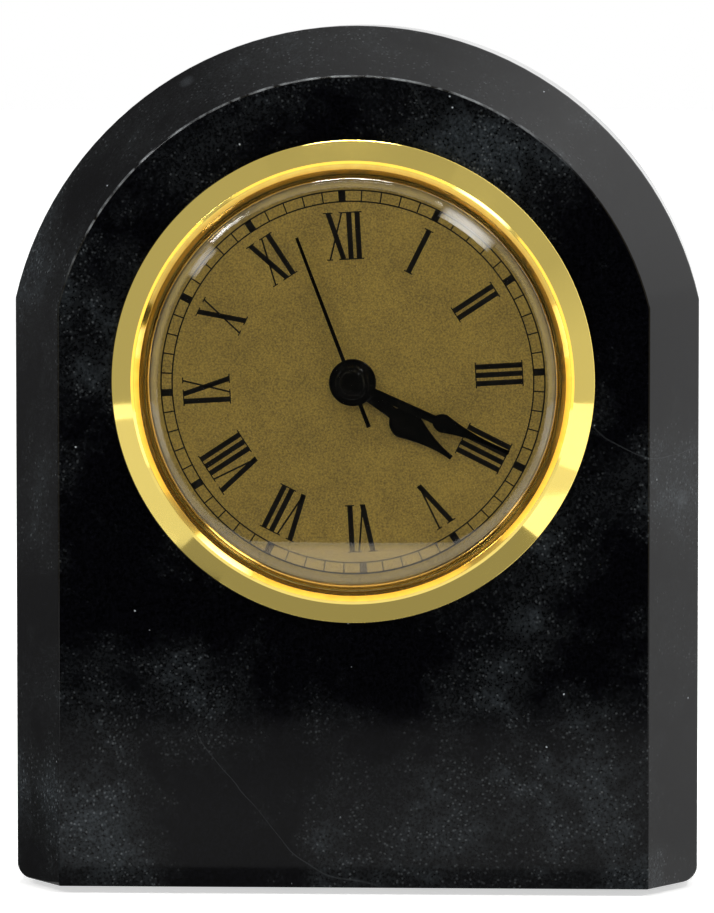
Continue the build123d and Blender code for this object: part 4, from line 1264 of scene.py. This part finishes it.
def mirrored(radius, clock, distance):
    """The place in the room that the camera sees mirrored on the lens at a radius and a clock angle."""
    if radius < LENS_DOME * math.cos(join_angle):
        tilt = math.asin(radius / LENS_DOME)
        height = dome_centre + LENS_DOME * math.cos(tilt)
    else:
        tilt = math.asin((radius - shoulder_reach) / LENS_SHOULDER)
        height = LENS_FLANGE + LENS_SHOULDER * math.cos(tilt)
    sideways = math.sin(math.radians(clock))
    upward = math.cos(math.radians(clock))
    spot = Vector((axis.x + radius * MM * sideways, front - height * MM, axis.z + radius * MM * upward))
    facing = Vector((math.sin(tilt) * sideways, -math.cos(tilt), math.sin(tilt) * upward))
    return spot + (spot - camera.location).normalized().reflect(facing) * distance


# Lights that leave soft streaks on the lens: each one's clock angles, radii, brightness and distance
WINDOW_STEPS = 8
WINDOW_RANKS = 6
WINDOWS = (
    ("upper_right_window", 27, 46, 27.3, 29.2, 7.0, 0.7),
    ("upper_left_window", -57, -45, 27.5, 29.0, 3.5, 0.7),
    ("overhead_strip", -12, 12, 29.4, 29.5, 60.0, 0.046),
)
for name, first, last, inner, outer, strength, away in WINDOWS:
    rows = []
    for step in range(WINDOW_STEPS + 1):
        clock = first + (last - first) * step / WINDOW_STEPS
        along = math.sin(math.pi * step / WINDOW_STEPS)
        row = []
        for rank in range(WINDOW_RANKS + 1):
            level = strength * math.sqrt(along * math.sin(math.pi * rank / WINDOW_RANKS))
            row.append((mirrored(inner + (outer - inner) * rank / WINDOW_RANKS, clock, away), level))
        rows.append(row)
    lit_grid(name, rows)

# Warm veil low on the lens, as of a lit table close by: drops under its middle and brightness there
VEIL_REACH = 27.6
VEIL_AWAY = 0.01
VEIL_STEPS = 12
VEIL = ((23.4, 1.2), (24.2, 2.0), (25.3, 2.0), (26.4, 2.0), (27.4, 2.0))
veil = []
for drop, level in VEIL:
    half = math.sqrt(VEIL_REACH**2 - drop**2)
    row = []
    for step in range(VEIL_STEPS + 1):
        across = half * (2 * step / VEIL_STEPS - 1)
        clock = math.degrees(math.atan2(across, -drop))
        row.append((mirrored(math.hypot(across, drop), clock, VEIL_AWAY), level))
    veil.append(row)
lit_grid("lens_veil", veil, warm_light)


def lamp(name, place, aim, size, power):
    """A soft square lamp at a place, aimed at a point."""
    light = bpy.data.lights.new(name, "AREA")
    light.size = size
    light.energy = power
    thing = bpy.data.objects.new(name, light)
    thing.location = place
    thing.rotation_mode = "QUATERNION"
    thing.rotation_quaternion = (Vector(aim) - Vector(place)).to_track_quat("-Z", "Y")
    bpy.context.collection.objects.link(thing)


# Lamps: place, aim and size in metres, and power in watts
lamp("upper_left_lamp", (-0.6, -0.65, 0.62), (0, 0, 0.07), 0.26, 3.6)
lamp("upper_right_lamp", (0.5, -0.6, 0.8), (0, 0, 0.07), 0.26, 3.6)
lamp("overhead_lamp", (0.0, 0.22, 1.05), (0, 0, 0.07), 0.34, 5.0)

# Soft white surroundings, plain white where the camera, polish or glass looks into them
world = bpy.data.worlds.new("studio")
bpy.context.scene.world = world
world.use_nodes = True
sky = world.node_tree
rays = add(sky, "ShaderNodeLightPath")
seen = add(
    sky,
    "ShaderNodeMath",
    {"operation": "MAXIMUM"},
    {0: rays.outputs["Is Camera Ray"], 1: rays.outputs["Is Glossy Ray"]},
)
looked = add(
    sky,
    "ShaderNodeMath",
    {"operation": "MAXIMUM"},
    {0: seen.outputs[0], 1: rays.outputs["Is Transmission Ray"]},
)
level = add(
    sky,
    "ShaderNodeMapRange",
    {"To Min": 0.5, "To Max": 1.0},
    {"Value": looked.outputs[0]},
)
backdrop = sky.nodes["Background"]
backdrop.inputs["Color"].default_value = (1, 1, 1, 1)
sky.links.new(level.outputs["Result"], backdrop.inputs["Strength"])
